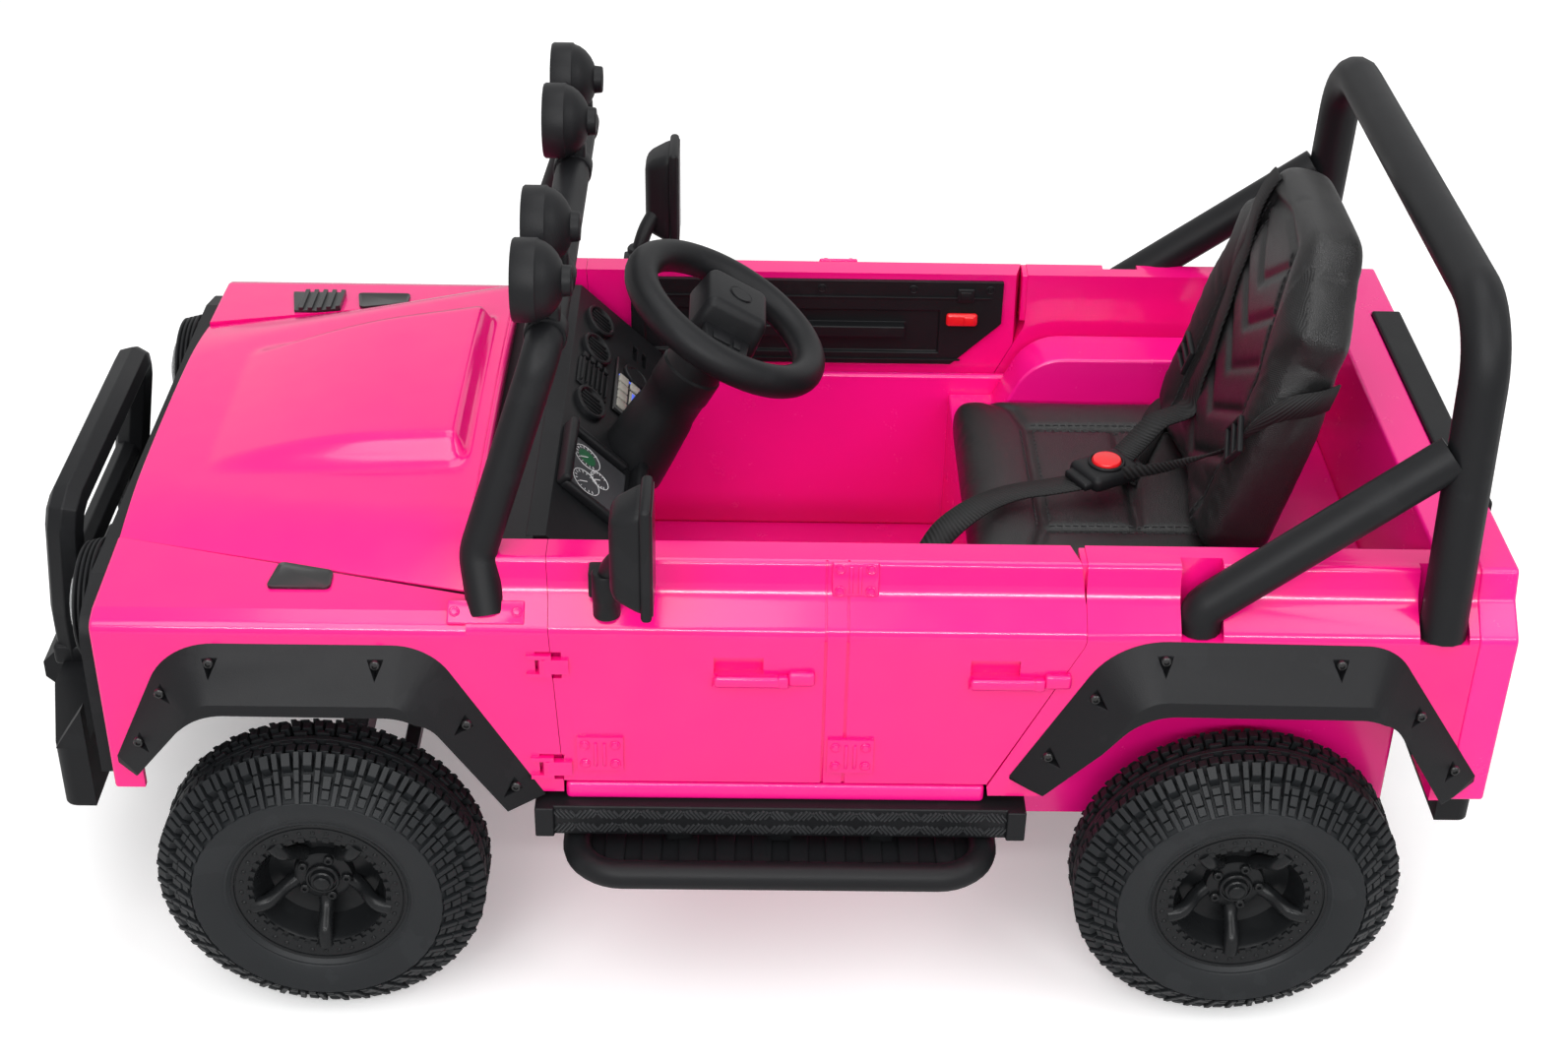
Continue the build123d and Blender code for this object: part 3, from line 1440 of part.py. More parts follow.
stem = shaft((0, 0, -SHAFT_LONG), (0, 0, 0), SHAFT_RADIUS)
save("steering_wheel", steer_place * (wheel_rim + spokes + pad + stem))
stem_room = bore((0, 0, -SHAFT_LONG - COLUMN_PLAY), (0, 0, 0), SHAFT_RADIUS + COLUMN_PLAY)
column = column_outer - steer_place * stem_room
column = largest(column - block(FIREWALL_X, NOSE_X, -PAST, PAST, 0, BODY_TOP_Z + PAST))
save("steering_column", column)

# Foot pedal on the floor
PEDAL_LONG = 80.0
PEDAL_WIDE = 46.0
PEDAL_TALL = 34.0
PEDAL_Y = -70.0
pedal_front_x = FIREWALL_X - SIDE_THICK / 2
pedal = side_plate(
    sharp(
        [
            (pedal_front_x - PEDAL_LONG, FLOOR_Z),
            (pedal_front_x, FLOOR_Z),
            (pedal_front_x, FLOOR_Z + PEDAL_TALL),
        ]
    ),
    PEDAL_Y - PEDAL_WIDE / 2,
    PEDAL_Y + PEDAL_WIDE / 2,
)
save("pedal", pedal)

# Seat: cushion on the platform, raked back that narrows to the head, harness
CUSHION_GAP = 21.0
CUSHION_LONG = 228.0
CUSHION_TALL = 48.0
CUSHION_CORNER = 30.0
BACK_SET = 184.0
BACK_THICK = 50.0
BACK_RAKE = 78.0
BACK_TALL = 286.0
BACK_IN = 15.0
BACK_HEAD_SHARE = 0.6
BACK_WAIST = 0.47
BACK_EDGE = 14.0
cushion_half = TUB_INNER_Y - BULGE_WIDE - CUSHION_GAP
back_half = cushion_half - BACK_IN
head_half = back_half * BACK_HEAD_SHARE
cushion_top_z = PLATFORM_Z + CUSHION_TALL
cushion = block(
    RISER_X - CUSHION_LONG, RISER_X, -cushion_half, cushion_half, PLATFORM_Z, cushion_top_z
)
cushion = chamfer(cushion.edges().filter_by(Axis.Z), CUSHION_CORNER)
save("seat_cushion", cushion)
back_front_x = RISER_X - BACK_SET
back_top_z = cushion_top_z + BACK_TALL
back_top_x = back_front_x - BACK_RAKE
seat_back = side_plate(
    sharp(
        [
            (back_front_x, cushion_top_z),
            (back_front_x - BACK_THICK, cushion_top_z),
            (back_top_x - BACK_THICK, back_top_z - BACK_EDGE),
            (back_top_x - BACK_THICK + BACK_EDGE, back_top_z),
            (back_top_x - BACK_EDGE, back_top_z),
            (back_top_x, back_top_z - BACK_EDGE),
        ]
    ),
    -back_half,
    back_half,
)
back_outline = sharp(
    [
        (back_half, cushion_top_z),
        (back_half, cushion_top_z + BACK_WAIST * BACK_TALL),
        (head_half, back_top_z),
        (-head_half, back_top_z),
        (-back_half, cushion_top_z + BACK_WAIST * BACK_TALL),
        (-back_half, cushion_top_z),
    ]
)
seat_back = seat_back & cross_plate(back_outline, back_top_x - PAST, RISER_X)
save("seat_back", seat_back)

STRAP_WIDE = 25.0
STRAP_THICK = 3.0
STRAP_Y = 58.0
STRAP_LOW = 0.10
STRAP_TOP = 0.72
BUCKLE_LONG = 54.0
BUCKLE_WIDE = 46.0
BUCKLE_THICK = 12.0
BUCKLE_AHEAD = 70.0
buckle_x = back_front_x + BUCKLE_AHEAD


def back_face_x(share):
    return back_front_x - share * BACK_RAKE * BACK_TALL / (BACK_TALL - BACK_EDGE)


shoulder_strap = side_plate(
    sharp(
        [
            (back_face_x(STRAP_LOW), cushion_top_z + STRAP_LOW * BACK_TALL),
            (back_face_x(STRAP_LOW) + STRAP_THICK, cushion_top_z + STRAP_LOW * BACK_TALL),
            (back_face_x(STRAP_TOP) + STRAP_THICK, cushion_top_z + STRAP_TOP * BACK_TALL),
            (back_face_x(STRAP_TOP), cushion_top_z + STRAP_TOP * BACK_TALL),
        ]
    ),
    STRAP_Y - STRAP_WIDE / 2,
    STRAP_Y + STRAP_WIDE / 2,
)
lap_strap = block(
    buckle_x - STRAP_WIDE / 2,
    buckle_x + STRAP_WIDE / 2,
    -cushion_half,
    cushion_half,
    cushion_top_z,
    cushion_top_z + STRAP_THICK,
)
buckle = block(
    buckle_x - BUCKLE_LONG / 2,
    buckle_x + BUCKLE_LONG / 2,
    -BUCKLE_WIDE / 2,
    BUCKLE_WIDE / 2,
    cushion_top_z,
    cushion_top_z + BUCKLE_THICK,
)
save("harness", shoulder_strap, mirrored(shoulder_strap), lap_strap + buckle)

# Front axle: beam under the frame with a fork at each kingpin
BEAM_HALF = 12.0
BEAM_TALL = 28.0
PEDESTAL_HALF = 60.0
FORK_HALF_TALL = 42.0
FORK_PLATE = 8.0
FORK_BACK = 16.0
FORK_OUT = 14.0
KINGPIN_RADIUS = 6.0
fork_face_y = KINGPIN_Y - FORK_BACK
fork_low_z = AXLE_Z - FORK_HALF_TALL
fork_top_z = AXLE_Z + FORK_HALF_TALL


def axle_block(y_low, y_high, z_low, z_high):
    return block(FRONT_AXLE_X - BEAM_HALF, FRONT_AXLE_X + BEAM_HALF, y_low, y_high, z_low, z_high)


front_axle = axle_block(-fork_face_y, fork_face_y, AXLE_Z - BEAM_TALL / 2, AXLE_Z + BEAM_TALL / 2)
front_axle = front_axle + axle_block(-PEDESTAL_HALF, PEDESTAL_HALF, AXLE_Z, frame_low_z)
fork = axle_block(fork_face_y - BEAM_HALF, fork_face_y, fork_low_z, fork_top_z)
for plate_z in (fork_low_z, fork_top_z - FORK_PLATE):
    fork = fork + axle_block(
        fork_face_y - BEAM_HALF, KINGPIN_Y + FORK_OUT, plate_z, plate_z + FORK_PLATE
    )
kingpin_line = (FRONT_AXLE_X, KINGPIN_Y)
fork = fork + shaft((*kingpin_line, fork_low_z), (*kingpin_line, fork_top_z), KINGPIN_RADIUS)
save("front_axle", front_axle + fork + mirrored(fork))

# Knuckle: sleeve on the kingpin, stub axle, arm with a pin for the tie rod
AXLE_RADIUS = 8.0
AXLE_PLAY = 0.3
SLEEVE_RADIUS = 14.0
SLEEVE_PLAY = 1.0
KINGPIN_PLAY = 0.5
HUB_DEPTH = 20.0
STUB_GAP = 2.0
STEER_ARM = 50.0
ARM_DROP = 24.0
ARM_THICK = 8.0
ARM_HALF = 6.0
ARM_END = 8.0
PIN_RADIUS = 4.0
PIN_TALL = 24.0
arm_low_z = AXLE_Z - ARM_DROP
arm_x = FRONT_AXLE_X - STEER_ARM
sleeve_low_z = fork_low_z + FORK_PLATE + SLEEVE_PLAY
sleeve_top_z = fork_top_z - FORK_PLATE - SLEEVE_PLAY
stub_y = WHEEL_Y + HUB_DEPTH - STUB_GAP
knuckle = shaft((*kingpin_line, sleeve_low_z), (*kingpin_line, sleeve_top_z), SLEEVE_RADIUS)
knuckle = knuckle + shaft((*kingpin_line, AXLE_Z), (FRONT_AXLE_X, stub_y, AXLE_Z), AXLE_RADIUS)
knuckle = knuckle + block(
    arm_x - ARM_END,
    FRONT_AXLE_X,
    KINGPIN_Y - ARM_HALF,
    KINGPIN_Y + ARM_HALF,
    arm_low_z,
    arm_low_z + ARM_THICK,
)
knuckle = knuckle - bore(
    (*kingpin_line, 0), (*kingpin_line, AXLE_Z + PAST), KINGPIN_RADIUS + KINGPIN_PLAY
)
knuckle = knuckle + shaft(
    (arm_x, KINGPIN_Y, arm_low_z), (arm_x, KINGPIN_Y, arm_low_z + PIN_TALL), PIN_RADIUS
)
save_pair("knuckle", knuckle)

# Tie rod: slotted eyes resting on the arms, because it only slides sideways
ROD_PLAY = 0.05
ROD_TALL = 8.0
ROD_HALF = 7.0
EYE_BACK = 13.0
EYE_AHEAD = 15.0
EYE_HALF = 12.0
SLOT_BACK = 6.0
SLOT_AHEAD = 9.0
SLOT_HALF = 5.0
rod_low_z = arm_low_z + ARM_THICK + ROD_PLAY
rod_top_z = rod_low_z + ROD_TALL
tie_rod = block(arm_x - ROD_HALF, arm_x + ROD_HALF, -KINGPIN_Y, KINGPIN_Y, rod_low_z, rod_top_z)
eye = block(
    arm_x - EYE_BACK,
    arm_x + EYE_AHEAD,
    KINGPIN_Y - EYE_HALF,
    KINGPIN_Y + EYE_HALF,
    rod_low_z,
    rod_top_z,
)
eye_slot = block(
    arm_x - SLOT_BACK,
    arm_x + SLOT_AHEAD,
    KINGPIN_Y - SLOT_HALF,
    KINGPIN_Y + SLOT_HALF,
    0,
    AXLE_Z,
)
tie_rod = tie_rod + eye + mirrored(eye) - eye_slot - mirrored(eye_slot)
save("tie_rod", tie_rod)

# Rear axle, a geared motor beside each wheel, battery under the platform
GEARBOX_AHEAD = 70.0
GEARBOX_BACK = 50.0
GEARBOX_WIDE = 72.0
GEARBOX_LOW = 40.0
GEARBOX_TOP = 75.0
BATTERY_LONG = 150.0
BATTERY_HALF = 75.0
BATTERY_TALL = 95.0
BATTERY_SET = 30.0
rear_axle = shaft((REAR_AXLE_X, -stub_y, AXLE_Z), (REAR_AXLE_X, stub_y, AXLE_Z), AXLE_RADIUS)
save("rear_axle", rear_axle)
gearbox = block(
    REAR_AXLE_X - GEARBOX_BACK,
    REAR_AXLE_X + GEARBOX_AHEAD,
    TUB_INNER_Y - GEARBOX_WIDE,
    TUB_INNER_Y,
    AXLE_Z - GEARBOX_LOW,
    AXLE_Z + GEARBOX_TOP,
)
gearbox = gearbox - rear_axle
save("gearboxes", gearbox, mirrored(gearbox))
battery_front_x = RISER_X - BATTERY_SET
battery_top_z = PLATFORM_Z - SKIN
battery = block(
    battery_front_x - BATTERY_LONG,
    battery_front_x,
    -BATTERY_HALF,
    BATTERY_HALF,
    battery_top_z - BATTERY_TALL,
    battery_top_z,
)
save("battery", battery)

# Tyre: drum with a ring of sloping lugs round each shoulder
LUG_COUNT = 46
LUG_FILL = 0.62
LUG_ROOT = 0.94
LUG_FOOT = 0.765
CROWN_HALF = 22.0
RIM_RADIUS = 76.0
RIM_SIDES = 16
lug_pitch = 2 * math.pi / LUG_COUNT


def lug_ring(height, scale):
    """Toothed outline round the axle, a lug centred straight down."""
    points = []
    for lug in range(LUG_COUNT):
        middle = math.pi / 2 + lug * lug_pitch
        for turn, radius in [(-LUG_FILL / 2, 1), (LUG_FILL / 2, 1), (0.5, LUG_ROOT)]:
            angle = middle + turn * lug_pitch
            reach = radius * scale * TYRE_RADIUS
            points.append(Vector(reach * math.cos(angle), reach * math.sin(angle), height))
    return points


def root_ring(height, scale):
    points = []
    for lug in range(LUG_COUNT):
        angle = math.pi / 2 + (lug + 0.5) * lug_pitch
        reach = LUG_ROOT * scale * TYRE_RADIUS
        points.append(Vector(reach * math.cos(angle), reach * math.sin(angle), height))
    return points


tyre_half = TYRE_WIDTH / 2
drum_rows = [(-tyre_half, LUG_FOOT), (-CROWN_HALF, 1.0), (CROWN_HALF, 1.0), (tyre_half, LUG_FOOT)]
tyre = faceted([root_ring(height, scale) for height, scale in drum_rows])
for side in (1, -1):
    ends = [lug_ring(side * CROWN_HALF, 1.0), lug_ring(side * tyre_half, LUG_FOOT)]
    tyre = tyre + faceted(ends)
bore_rows = [(-TYRE_WIDTH, RIM_RADIUS), (TYRE_WIDTH, RIM_RADIUS)]
tyre = tyre - turned(Pos(0, 0, 0), bore_rows, RIM_SIDES)

# Rim: barrel with a deep dish in front, five bent spokes over it, hub and cap
RIM_BACK = 36.0
RIM_FACE = 37.0
DISH_RADIUS = 56.0
DISH_FLOOR_RADIUS = 40.0
DISH_FLOOR = 6.0
BACK_RADIUS = 68.0
WEB_THICK = 8.0
HUB_RADIUS = 26.0
HUB_BACK = 30.0
HUB_FACE = 18.0
CAP_RADIUS = 15.0
CAP_TOP_RADIUS = 11.0
CAP_FACE = 29.0
SPOKE_COUNT = 5
SPOKE_SIDES = 4
SPOKE_CHORDS = 1
SPOKE_RADIUS = 7.0
SPOKE_KNEE = 46.0
SPOKE_KNEE_FACE = 33.0
SPOKE_FOOT_FACE = 11.0
origin = Pos(0, 0, 0)
rim = turned(origin, [(-RIM_BACK, RIM_RADIUS), (RIM_FACE, RIM_RADIUS)], RIM_SIDES)
dish_rows = [(DISH_FLOOR, DISH_FLOOR_RADIUS), (RIM_FACE, DISH_RADIUS)]
rim = rim - turned(origin, dish_rows, RIM_SIDES)
back_rows = [(-RIM_BACK, BACK_RADIUS), (DISH_FLOOR - WEB_THICK, BACK_RADIUS - WEB_THICK)]
rim = rim - turned(origin, back_rows, RIM_SIDES)
hub_rows = [
    (-HUB_BACK, HUB_RADIUS),
    (HUB_FACE, HUB_RADIUS),
    (HUB_FACE, CAP_RADIUS),
    (CAP_FACE, CAP_TOP_RADIUS),
]
rim = rim + turned(origin, hub_rows[:2], RIM_SIDES // 2)
rim = rim + turned(origin, hub_rows[2:], RIM_SIDES // 2)
spoke = tube(
    [
        (DISH_RADIUS + SPOKE_RADIUS, 0, RIM_FACE - SPOKE_RADIUS),
        (SPOKE_KNEE, 0, SPOKE_KNEE_FACE),
        (HUB_RADIUS - SPOKE_RADIUS, 0, SPOKE_FOOT_FACE),
    ],
    SPOKE_RADIUS,
    SPOKE_RADIUS,
    SPOKE_SIDES,
    SPOKE_CHORDS,
)
for turn in range(SPOKE_COUNT):
    rim = rim + Rot(0, 0, turn * 360 / SPOKE_COUNT) * spoke
rim = rim - bore((0, 0, -RIM_BACK), (0, 0, HUB_DEPTH), AXLE_RADIUS + AXLE_PLAY)

# Rows of name, axle X
for end_name, axle_x in [("front", FRONT_AXLE_X), ("rear", REAR_AXLE_X)]:
    place = Plane((axle_x, WHEEL_Y, AXLE_Z), x_dir=(1, 0, 0), z_dir=(0, 1, 0))
    for label, item in [("tyre", tyre), ("rim", rim)]:
        left = place * item
        save(label + "_" + end_name + "_left", left)
        save(label + "_" + end_name + "_right", mirrored(left))
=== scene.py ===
# %% [markdown]
# # A pink ride-on off-roader
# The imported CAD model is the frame: it fixes every size and every joint. This lesson gives it
# its looks. Each step says what the real piece is, how it could be made, and why it is made
# the way it is here.

# %% Load the frame
import math
import bmesh
import bpy
from mathutils import Matrix, Vector
from mathutils.bvhtree import BVHTree


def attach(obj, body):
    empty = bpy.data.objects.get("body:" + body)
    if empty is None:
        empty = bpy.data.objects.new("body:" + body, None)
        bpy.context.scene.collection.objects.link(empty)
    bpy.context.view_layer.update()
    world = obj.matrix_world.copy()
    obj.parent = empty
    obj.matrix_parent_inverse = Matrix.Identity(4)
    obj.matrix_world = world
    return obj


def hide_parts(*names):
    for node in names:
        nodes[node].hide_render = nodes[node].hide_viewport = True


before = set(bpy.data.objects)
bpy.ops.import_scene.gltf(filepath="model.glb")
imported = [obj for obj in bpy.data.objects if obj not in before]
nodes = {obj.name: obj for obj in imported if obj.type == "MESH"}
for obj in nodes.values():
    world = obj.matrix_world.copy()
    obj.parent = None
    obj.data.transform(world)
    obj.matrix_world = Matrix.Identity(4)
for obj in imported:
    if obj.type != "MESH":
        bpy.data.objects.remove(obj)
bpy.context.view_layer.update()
MM = 0.001

# %% [markdown]
# ## Camera
# The photograph looks down on the left side from a tripod. A camera could be aimed with a
# Track To constraint, but its small roll is easier to keep with three axes worked out here:
# right, up and forward, which are the columns of the camera's matrix.

# %% Camera
PHOTO_WIDE, FOCAL_PIXELS, SENSOR_WIDE = 1593, 2384.8, 36
CAMERA_SPOT = (0.00106, 1.8293, 1.4823)
YAW, LOOK_DOWN, ROLL = [math.radians(angle) for angle in (-1.084, 32.93, 1.285)]


def axes(first, second, third):
    """The turn that lays X, Y and Z along three directions."""
    return Matrix((first, second, third)).transposed().to_4x4()


flat_share = math.cos(LOOK_DOWN)
forward = Vector((math.sin(YAW) * flat_share, -math.cos(YAW) * flat_share, -math.sin(LOOK_DOWN)))
level = forward.cross(Vector((0, 0, 1))).normalized()
upright = level.cross(forward)
camera_right = math.cos(ROLL) * level + math.sin(ROLL) * upright
camera_up = -math.sin(ROLL) * level + math.cos(ROLL) * upright
camera_data = bpy.data.cameras.new("camera")
camera_data.sensor_width = SENSOR_WIDE
camera_data.sensor_fit = "HORIZONTAL"
camera_data.lens = FOCAL_PIXELS / PHOTO_WIDE * SENSOR_WIDE
camera = bpy.data.objects.new("camera", camera_data)
bpy.context.scene.collection.objects.link(camera)
camera.matrix_world = Matrix.Translation(CAMERA_SPOT) @ axes(camera_right, camera_up, -forward)
bpy.context.scene.camera = camera
bpy.context.scene.view_settings.view_transform = "Standard"
print("lens", round(camera_data.lens, 2), "mm")

# %% [markdown]
# ## Shader sums
# A finish is a small graph of nodes. Wiring nodes by hand is long, so one class wraps a socket
# and lets Python's own signs add Math nodes, and another makes any node from its type, its
# settings and what goes into its sockets. The studio's world uses the same two classes.

# %% Sockets that can be added and multiplied
class Socket:
    """An output that can stand in a sum."""

    def __init__(self, graph, output):
        self.graph = graph
        self.output = output

    def math(self, operation, first, second):
        return self.graph.node("Math", {"operation": operation}, {0: first, 1: second})

    def __add__(self, other):
        return self.math("ADD", self, other)

    def __sub__(self, other):
        return self.math("SUBTRACT", self, other)

    def __rsub__(self, other):
        return self.math("SUBTRACT", other, self)

    def __mul__(self, other):
        return self.math("MULTIPLY", self, other)

    def __gt__(self, other):
        return self.math("GREATER_THAN", self, other)

    def __pow__(self, other):
        return self.math("POWER", self, other)

    def __or__(self, other):
        return self.math("MAXIMUM", self, other)

    __radd__ = __add__
    __rmul__ = __mul__


print("sockets ready")


# %% Graphs and finishes
class Graph:
    """A tree of nodes, with one method that adds any node to it."""

    def __init__(self, tree):
        self.tree = tree

    def plug(self, socket, value):
        if isinstance(value, Socket):
            self.tree.links.new(value.output, socket)
        else:
            socket.default_value = value

    def node(self, kind, settings=None, sockets=None, out=0):
        made = self.tree.nodes.new("ShaderNode" + kind)
        for name, value in (settings or {}).items():
            setattr(made, name, value)
        for name, value in (sockets or {}).items():
            self.plug(made.inputs[name], value)
        return Socket(self, made.outputs[out])


class Finish(Graph):
    """One material and the nodes in it."""

    def __init__(self, name, colour, roughness, **constants):
        self.material = bpy.data.materials.new(name)
        self.material.use_nodes = True
        super().__init__(self.material.node_tree)
        self.shader = self.tree.nodes["Principled BSDF"]
        self.set(Base_Color=(*colour, 1), Roughness=roughness, **constants)

    def set(self, **sockets):
        for name, value in sockets.items():
            self.plug(self.shader.inputs[name.replace("_", " ")], value)

    def coordinates(self):
        return self.node("TexCoord", out="Object")

    def noise(self, scale, detail=3.0):
        sockets = {"Vector": self.coordinates(), "Scale": scale, "Detail": detail}
        return self.node("TexNoise", sockets=sockets)

    def waves(self, direction, scale):
        sockets = {"Vector": self.coordinates(), "Scale": scale}
        return self.node("TexWave", {"bands_direction": direction}, sockets)

    def mix(self, share, first, second):
        settings = {"data_type": "RGBA"}
        return self.node("Mix", settings, {"Factor": share, 6: first, 7: second}, out=2)

    def bump(self, height, distance):
        self.set(Normal=self.node("Bump", sockets={"Height": height, "Distance": distance}))


print("shader helpers ready")

# %% [markdown]
# ## Finishes
# The body is glossy dyed plastic, so its colour is even, and life comes from a slight wave in
# the skin and from handling marks in the roughness. The black parts are the same kind of
# plastic with a fine spark-eroded grain. All patterns read Object coordinates, in metres.

# %% Plastic finishes
SKIN_WAVE = 0.00012


def gloss_plastic(name, colour, roughness):
    """Moulded plastic with a slight wave in its skin and faint handling marks."""
    made = Finish(name, colour, roughness, Specular_IOR_Level=0.5, Coat_Roughness=0.05)
    marks = made.noise(38.0, 6.0)
    fine = made.noise(420.0, 2.0)
    made.set(Roughness=roughness + marks * 0.10 - 0.05 + fine * 0.03)
    darker = tuple(0.93 * v for v in colour)
    made.set(Base_Color=made.mix(made.noise(6.0), (*colour, 1), (*darker, 1)))
    made.set(Coat_Weight=marks * 0.3)
    made.bump(made.noise(24.0, 2.0), SKIN_WAVE)
    return made


def grained_plastic(name, colour, roughness, grain=900.0, deep=0.00012):
    """Satin plastic with a fine grain, greyer where hands and feet rub it."""
    made = Finish(name, colour, roughness, Specular_IOR_Level=0.20)
    rub = made.noise(22.0, 6.0)
    paler = tuple(min(1.0, 1.5 * v + 0.003) for v in colour)
    made.set(Base_Color=made.mix((rub > 0.62) * 0.25 + rub * 0.25, (*colour, 1), (*paler, 1)))
    made.set(Roughness=roughness + rub * 0.16 - 0.08)
    made.bump(made.noise(grain, 2.0), deep)
    return made


pink = gloss_plastic("pink gloss plastic", (0.90, 0.004, 0.205), 0.15)
# The inner pink is paler than the outer pink: painted light that brightens the shaded cabin walls.
inner_pink_painted_light = gloss_plastic("pink inner plastic with painted light", (0.95, 0.005, 0.255), 0.24)
black = grained_plastic("black grained plastic", (0.0065, 0.0068, 0.0078), 0.46)
smooth_black = gloss_plastic("black smooth plastic", (0.006, 0.006, 0.0065), 0.32)
tyre_black = grained_plastic("tyre plastic", (0.0135, 0.0150, 0.0165), 0.44, 700.0, 0.00014)
rim_black = grained_plastic("rim plastic", (0.0085, 0.0092, 0.0100), 0.28, 1200.0, 0.00005)
red = gloss_plastic("red plastic", (0.80, 0.012, 0.018), 0.22)
panel_grey = grained_plastic("panel grey", (0.36, 0.35, 0.31), 0.45)
dark_red = gloss_plastic("dark red lens", (0.20, 0.006, 0.010), 0.12)
steel = Finish("plain steel", (0.42, 0.42, 0.44), 0.35, Metallic=1.0)
steel.set(Roughness=0.28 + steel.noise(160.0) * 0.2)
silver = Finish("silver paint", (0.62, 0.63, 0.65), 0.30, Metallic=0.9)
silver.set(Roughness=0.24 + silver.noise(300.0) * 0.14)
clear = Finish("clear lens", (0.93, 0.95, 0.97), 0.06, Transmission_Weight=0.85, IOR=1.46)
clear.set(Roughness=0.03 + clear.noise(90.0) * 0.06)
print("finishes", len(bpy.data.materials))

# %% [markdown]
# ## Floor and light
# A pale studio sweep: a large white floor that keeps the soft shadow, a pale world that the
# gloss can mirror, and broad lamps. Camera, glossy and transmission rays see the world almost
# white, while other rays see a softer level, so that colours come out as they are written.

# %% Floor
FLOOR_HALF = 14
floor_mesh = bmesh.new()
bmesh.ops.create_grid(floor_mesh, x_segments=1, y_segments=1, size=FLOOR_HALF)
floor_data = bpy.data.meshes.new("floor")
floor_mesh.to_mesh(floor_data)
floor_mesh.free()
floor = bpy.data.objects.new("floor", floor_data)
bpy.context.scene.collection.objects.link(floor)


def grey(level):
    """An even grey as a colour with its alpha."""
    return (level, level, level, 1)


floor_finish = Finish("pale floor", (0.97, 0.97, 0.97), 0.9, Specular_IOR_Level=0.0)
floor_data.materials.append(floor_finish.material)
in_view = floor_finish.node("LightPath", out="Is Camera Ray")
floor_finish.set(Base_Color=floor_finish.mix(in_view, grey(0.66), grey(0.97)))
floor_finish.set(Emission_Color=floor_finish.mix(in_view, grey(0), grey(0.22)), Emission_Strength=1.0)
print("floor", 2 * FLOOR_HALF, "m wide")

# %% World
world = bpy.data.worlds.new("studio")
bpy.context.scene.world = world
world.use_nodes = True
sky = Graph(world.node_tree)
sky.tree.nodes.remove(sky.tree.nodes["Background"])
soft_light = sky.node("Background", sockets={"Color": grey(1.0), "Strength": 0.45})
pale_wall = sky.node("Background", sockets={"Color": grey(0.8), "Strength": 1.0})
camera_ray, glossy_ray, passing_ray = [
    sky.node("LightPath", out="Is " + ray + " Ray") for ray in ("Camera", "Glossy", "Transmission")
]
seen = camera_ray | glossy_ray | passing_ray
shown = sky.node("MixShader", sockets={0: seen, 1: soft_light, 2: pale_wall})
sky.plug(sky.tree.nodes["World Output"].inputs["Surface"], shown)
print("world nodes", len(sky.tree.nodes))

# %% Lamps of the studio
# Rows of name, place, aim, length, width, power
lamp_rows = [
    ("key", (1.2, 2.6, 3.8), (0, 0, 0.3), 2.4, 2.4, 68),
    ("fill", (-2.4, 1.8, 3.2), (0, 0, 0.3), 2.2, 2.2, 42),
    ("top", (0.0, -0.4, 4.2), (0, 0, 0.3), 3.0, 3.0, 66),
    ("strip", (0.0, 2.9, 1.9), (0, 0.3, 0.4), 3.4, 0.12, 52),
]
for lamp_name, lamp_spot, aim, long, wide, power in lamp_rows:
    lamp_data = bpy.data.lights.new(lamp_name, "AREA")
    lamp_data.shape = "RECTANGLE"
    lamp_data.size = long
    lamp_data.size_y = wide
    lamp_data.energy = power
    lamp = bpy.data.objects.new(lamp_name, lamp_data)
    bpy.context.scene.collection.objects.link(lamp)
    lamp.location = lamp_spot
    lamp.rotation_euler = (Vector(aim) - Vector(lamp_spot)).to_track_quat("-Z", "Y").to_euler()
print("lamps", len(lamp_rows))

# %% [markdown]
# ## Plain CAD pieces
# The bumpers, the front and rear faces and all the running gear are shown as the CAD has them.
# Real moulded parts have no knife edges, so a Weld joins the loose triangles, a Bevel rounds
# every sharp edge, and Weighted Normals keep the flats flat. The mesh itself is left alone.

# %% Dress the CAD nodes
def dress(name, finish, radius):
    """Gives a CAD node its finish and rounds its edges with modifiers."""
    node = nodes[name]
    node.data.materials.clear()
    node.data.materials.append(finish.material)
    weld = node.modifiers.new("weld", "WELD")
    weld.merge_threshold = 0.00002
    rounding = node.modifiers.new("bevel", "BEVEL")
    rounding.width = radius * MM
    rounding.segments = 3
    rounding.limit_method = "ANGLE"
    rounding.angle_limit = math.radians(32)
    rounding.use_clamp_overlap = True
    rounding.miter_outer = "MITER_ARC"
    normals = node.modifiers.new("normals", "WEIGHTED_NORMAL")
    normals.keep_sharp = True


# Rows of finish, edge radius in mm, nodes
dress_rows = [
    (pink, 3.0, "firewall"),
    (black, 1.0, "pedal"),
    (black, 2.0, "front_panel front_frame gearboxes battery"),
    (black, 2.5, "tailgate"),
    (black, 7.0, "front_bumper rear_bumper"),
    (dark_red, 1.0, "rear_lamps"),
    (steel, 1.0, "front_axle rear_axle knuckle_left knuckle_right tie_rod"),
]
for finish, radius, names in dress_rows:
    for name in names.split():
        dress(name, finish, radius)
    print("dressed", names)

# %% [markdown]
# ## Workshop helpers
# Every new piece starts as a bmesh, is shaped with operators, and ends as an object at the
# origin that rides on a CAD body. These helpers hold the steps that all pieces share.

# %% Helpers that end a piece
def add_piece(name, bm, stands_for=(), finishes=(black,), slot="black_plastic", body="chassis", angle=38):
    """Turns a bmesh into a piece that rides on a body and may stand for CAD nodes."""
    mesh = bpy.data.meshes.new(name)
    bm.to_mesh(mesh)
    bm.free()
    for finish in finishes:
        mesh.materials.append(finish.material)
    mesh.shade_smooth()
    mesh.set_sharp_from_angle(angle=math.radians(angle))
    piece = bpy.data.objects.new(name, mesh)
    bpy.context.scene.collection.objects.link(piece)
    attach(piece, body)
    if stands_for:
        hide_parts(*stands_for)
    return piece


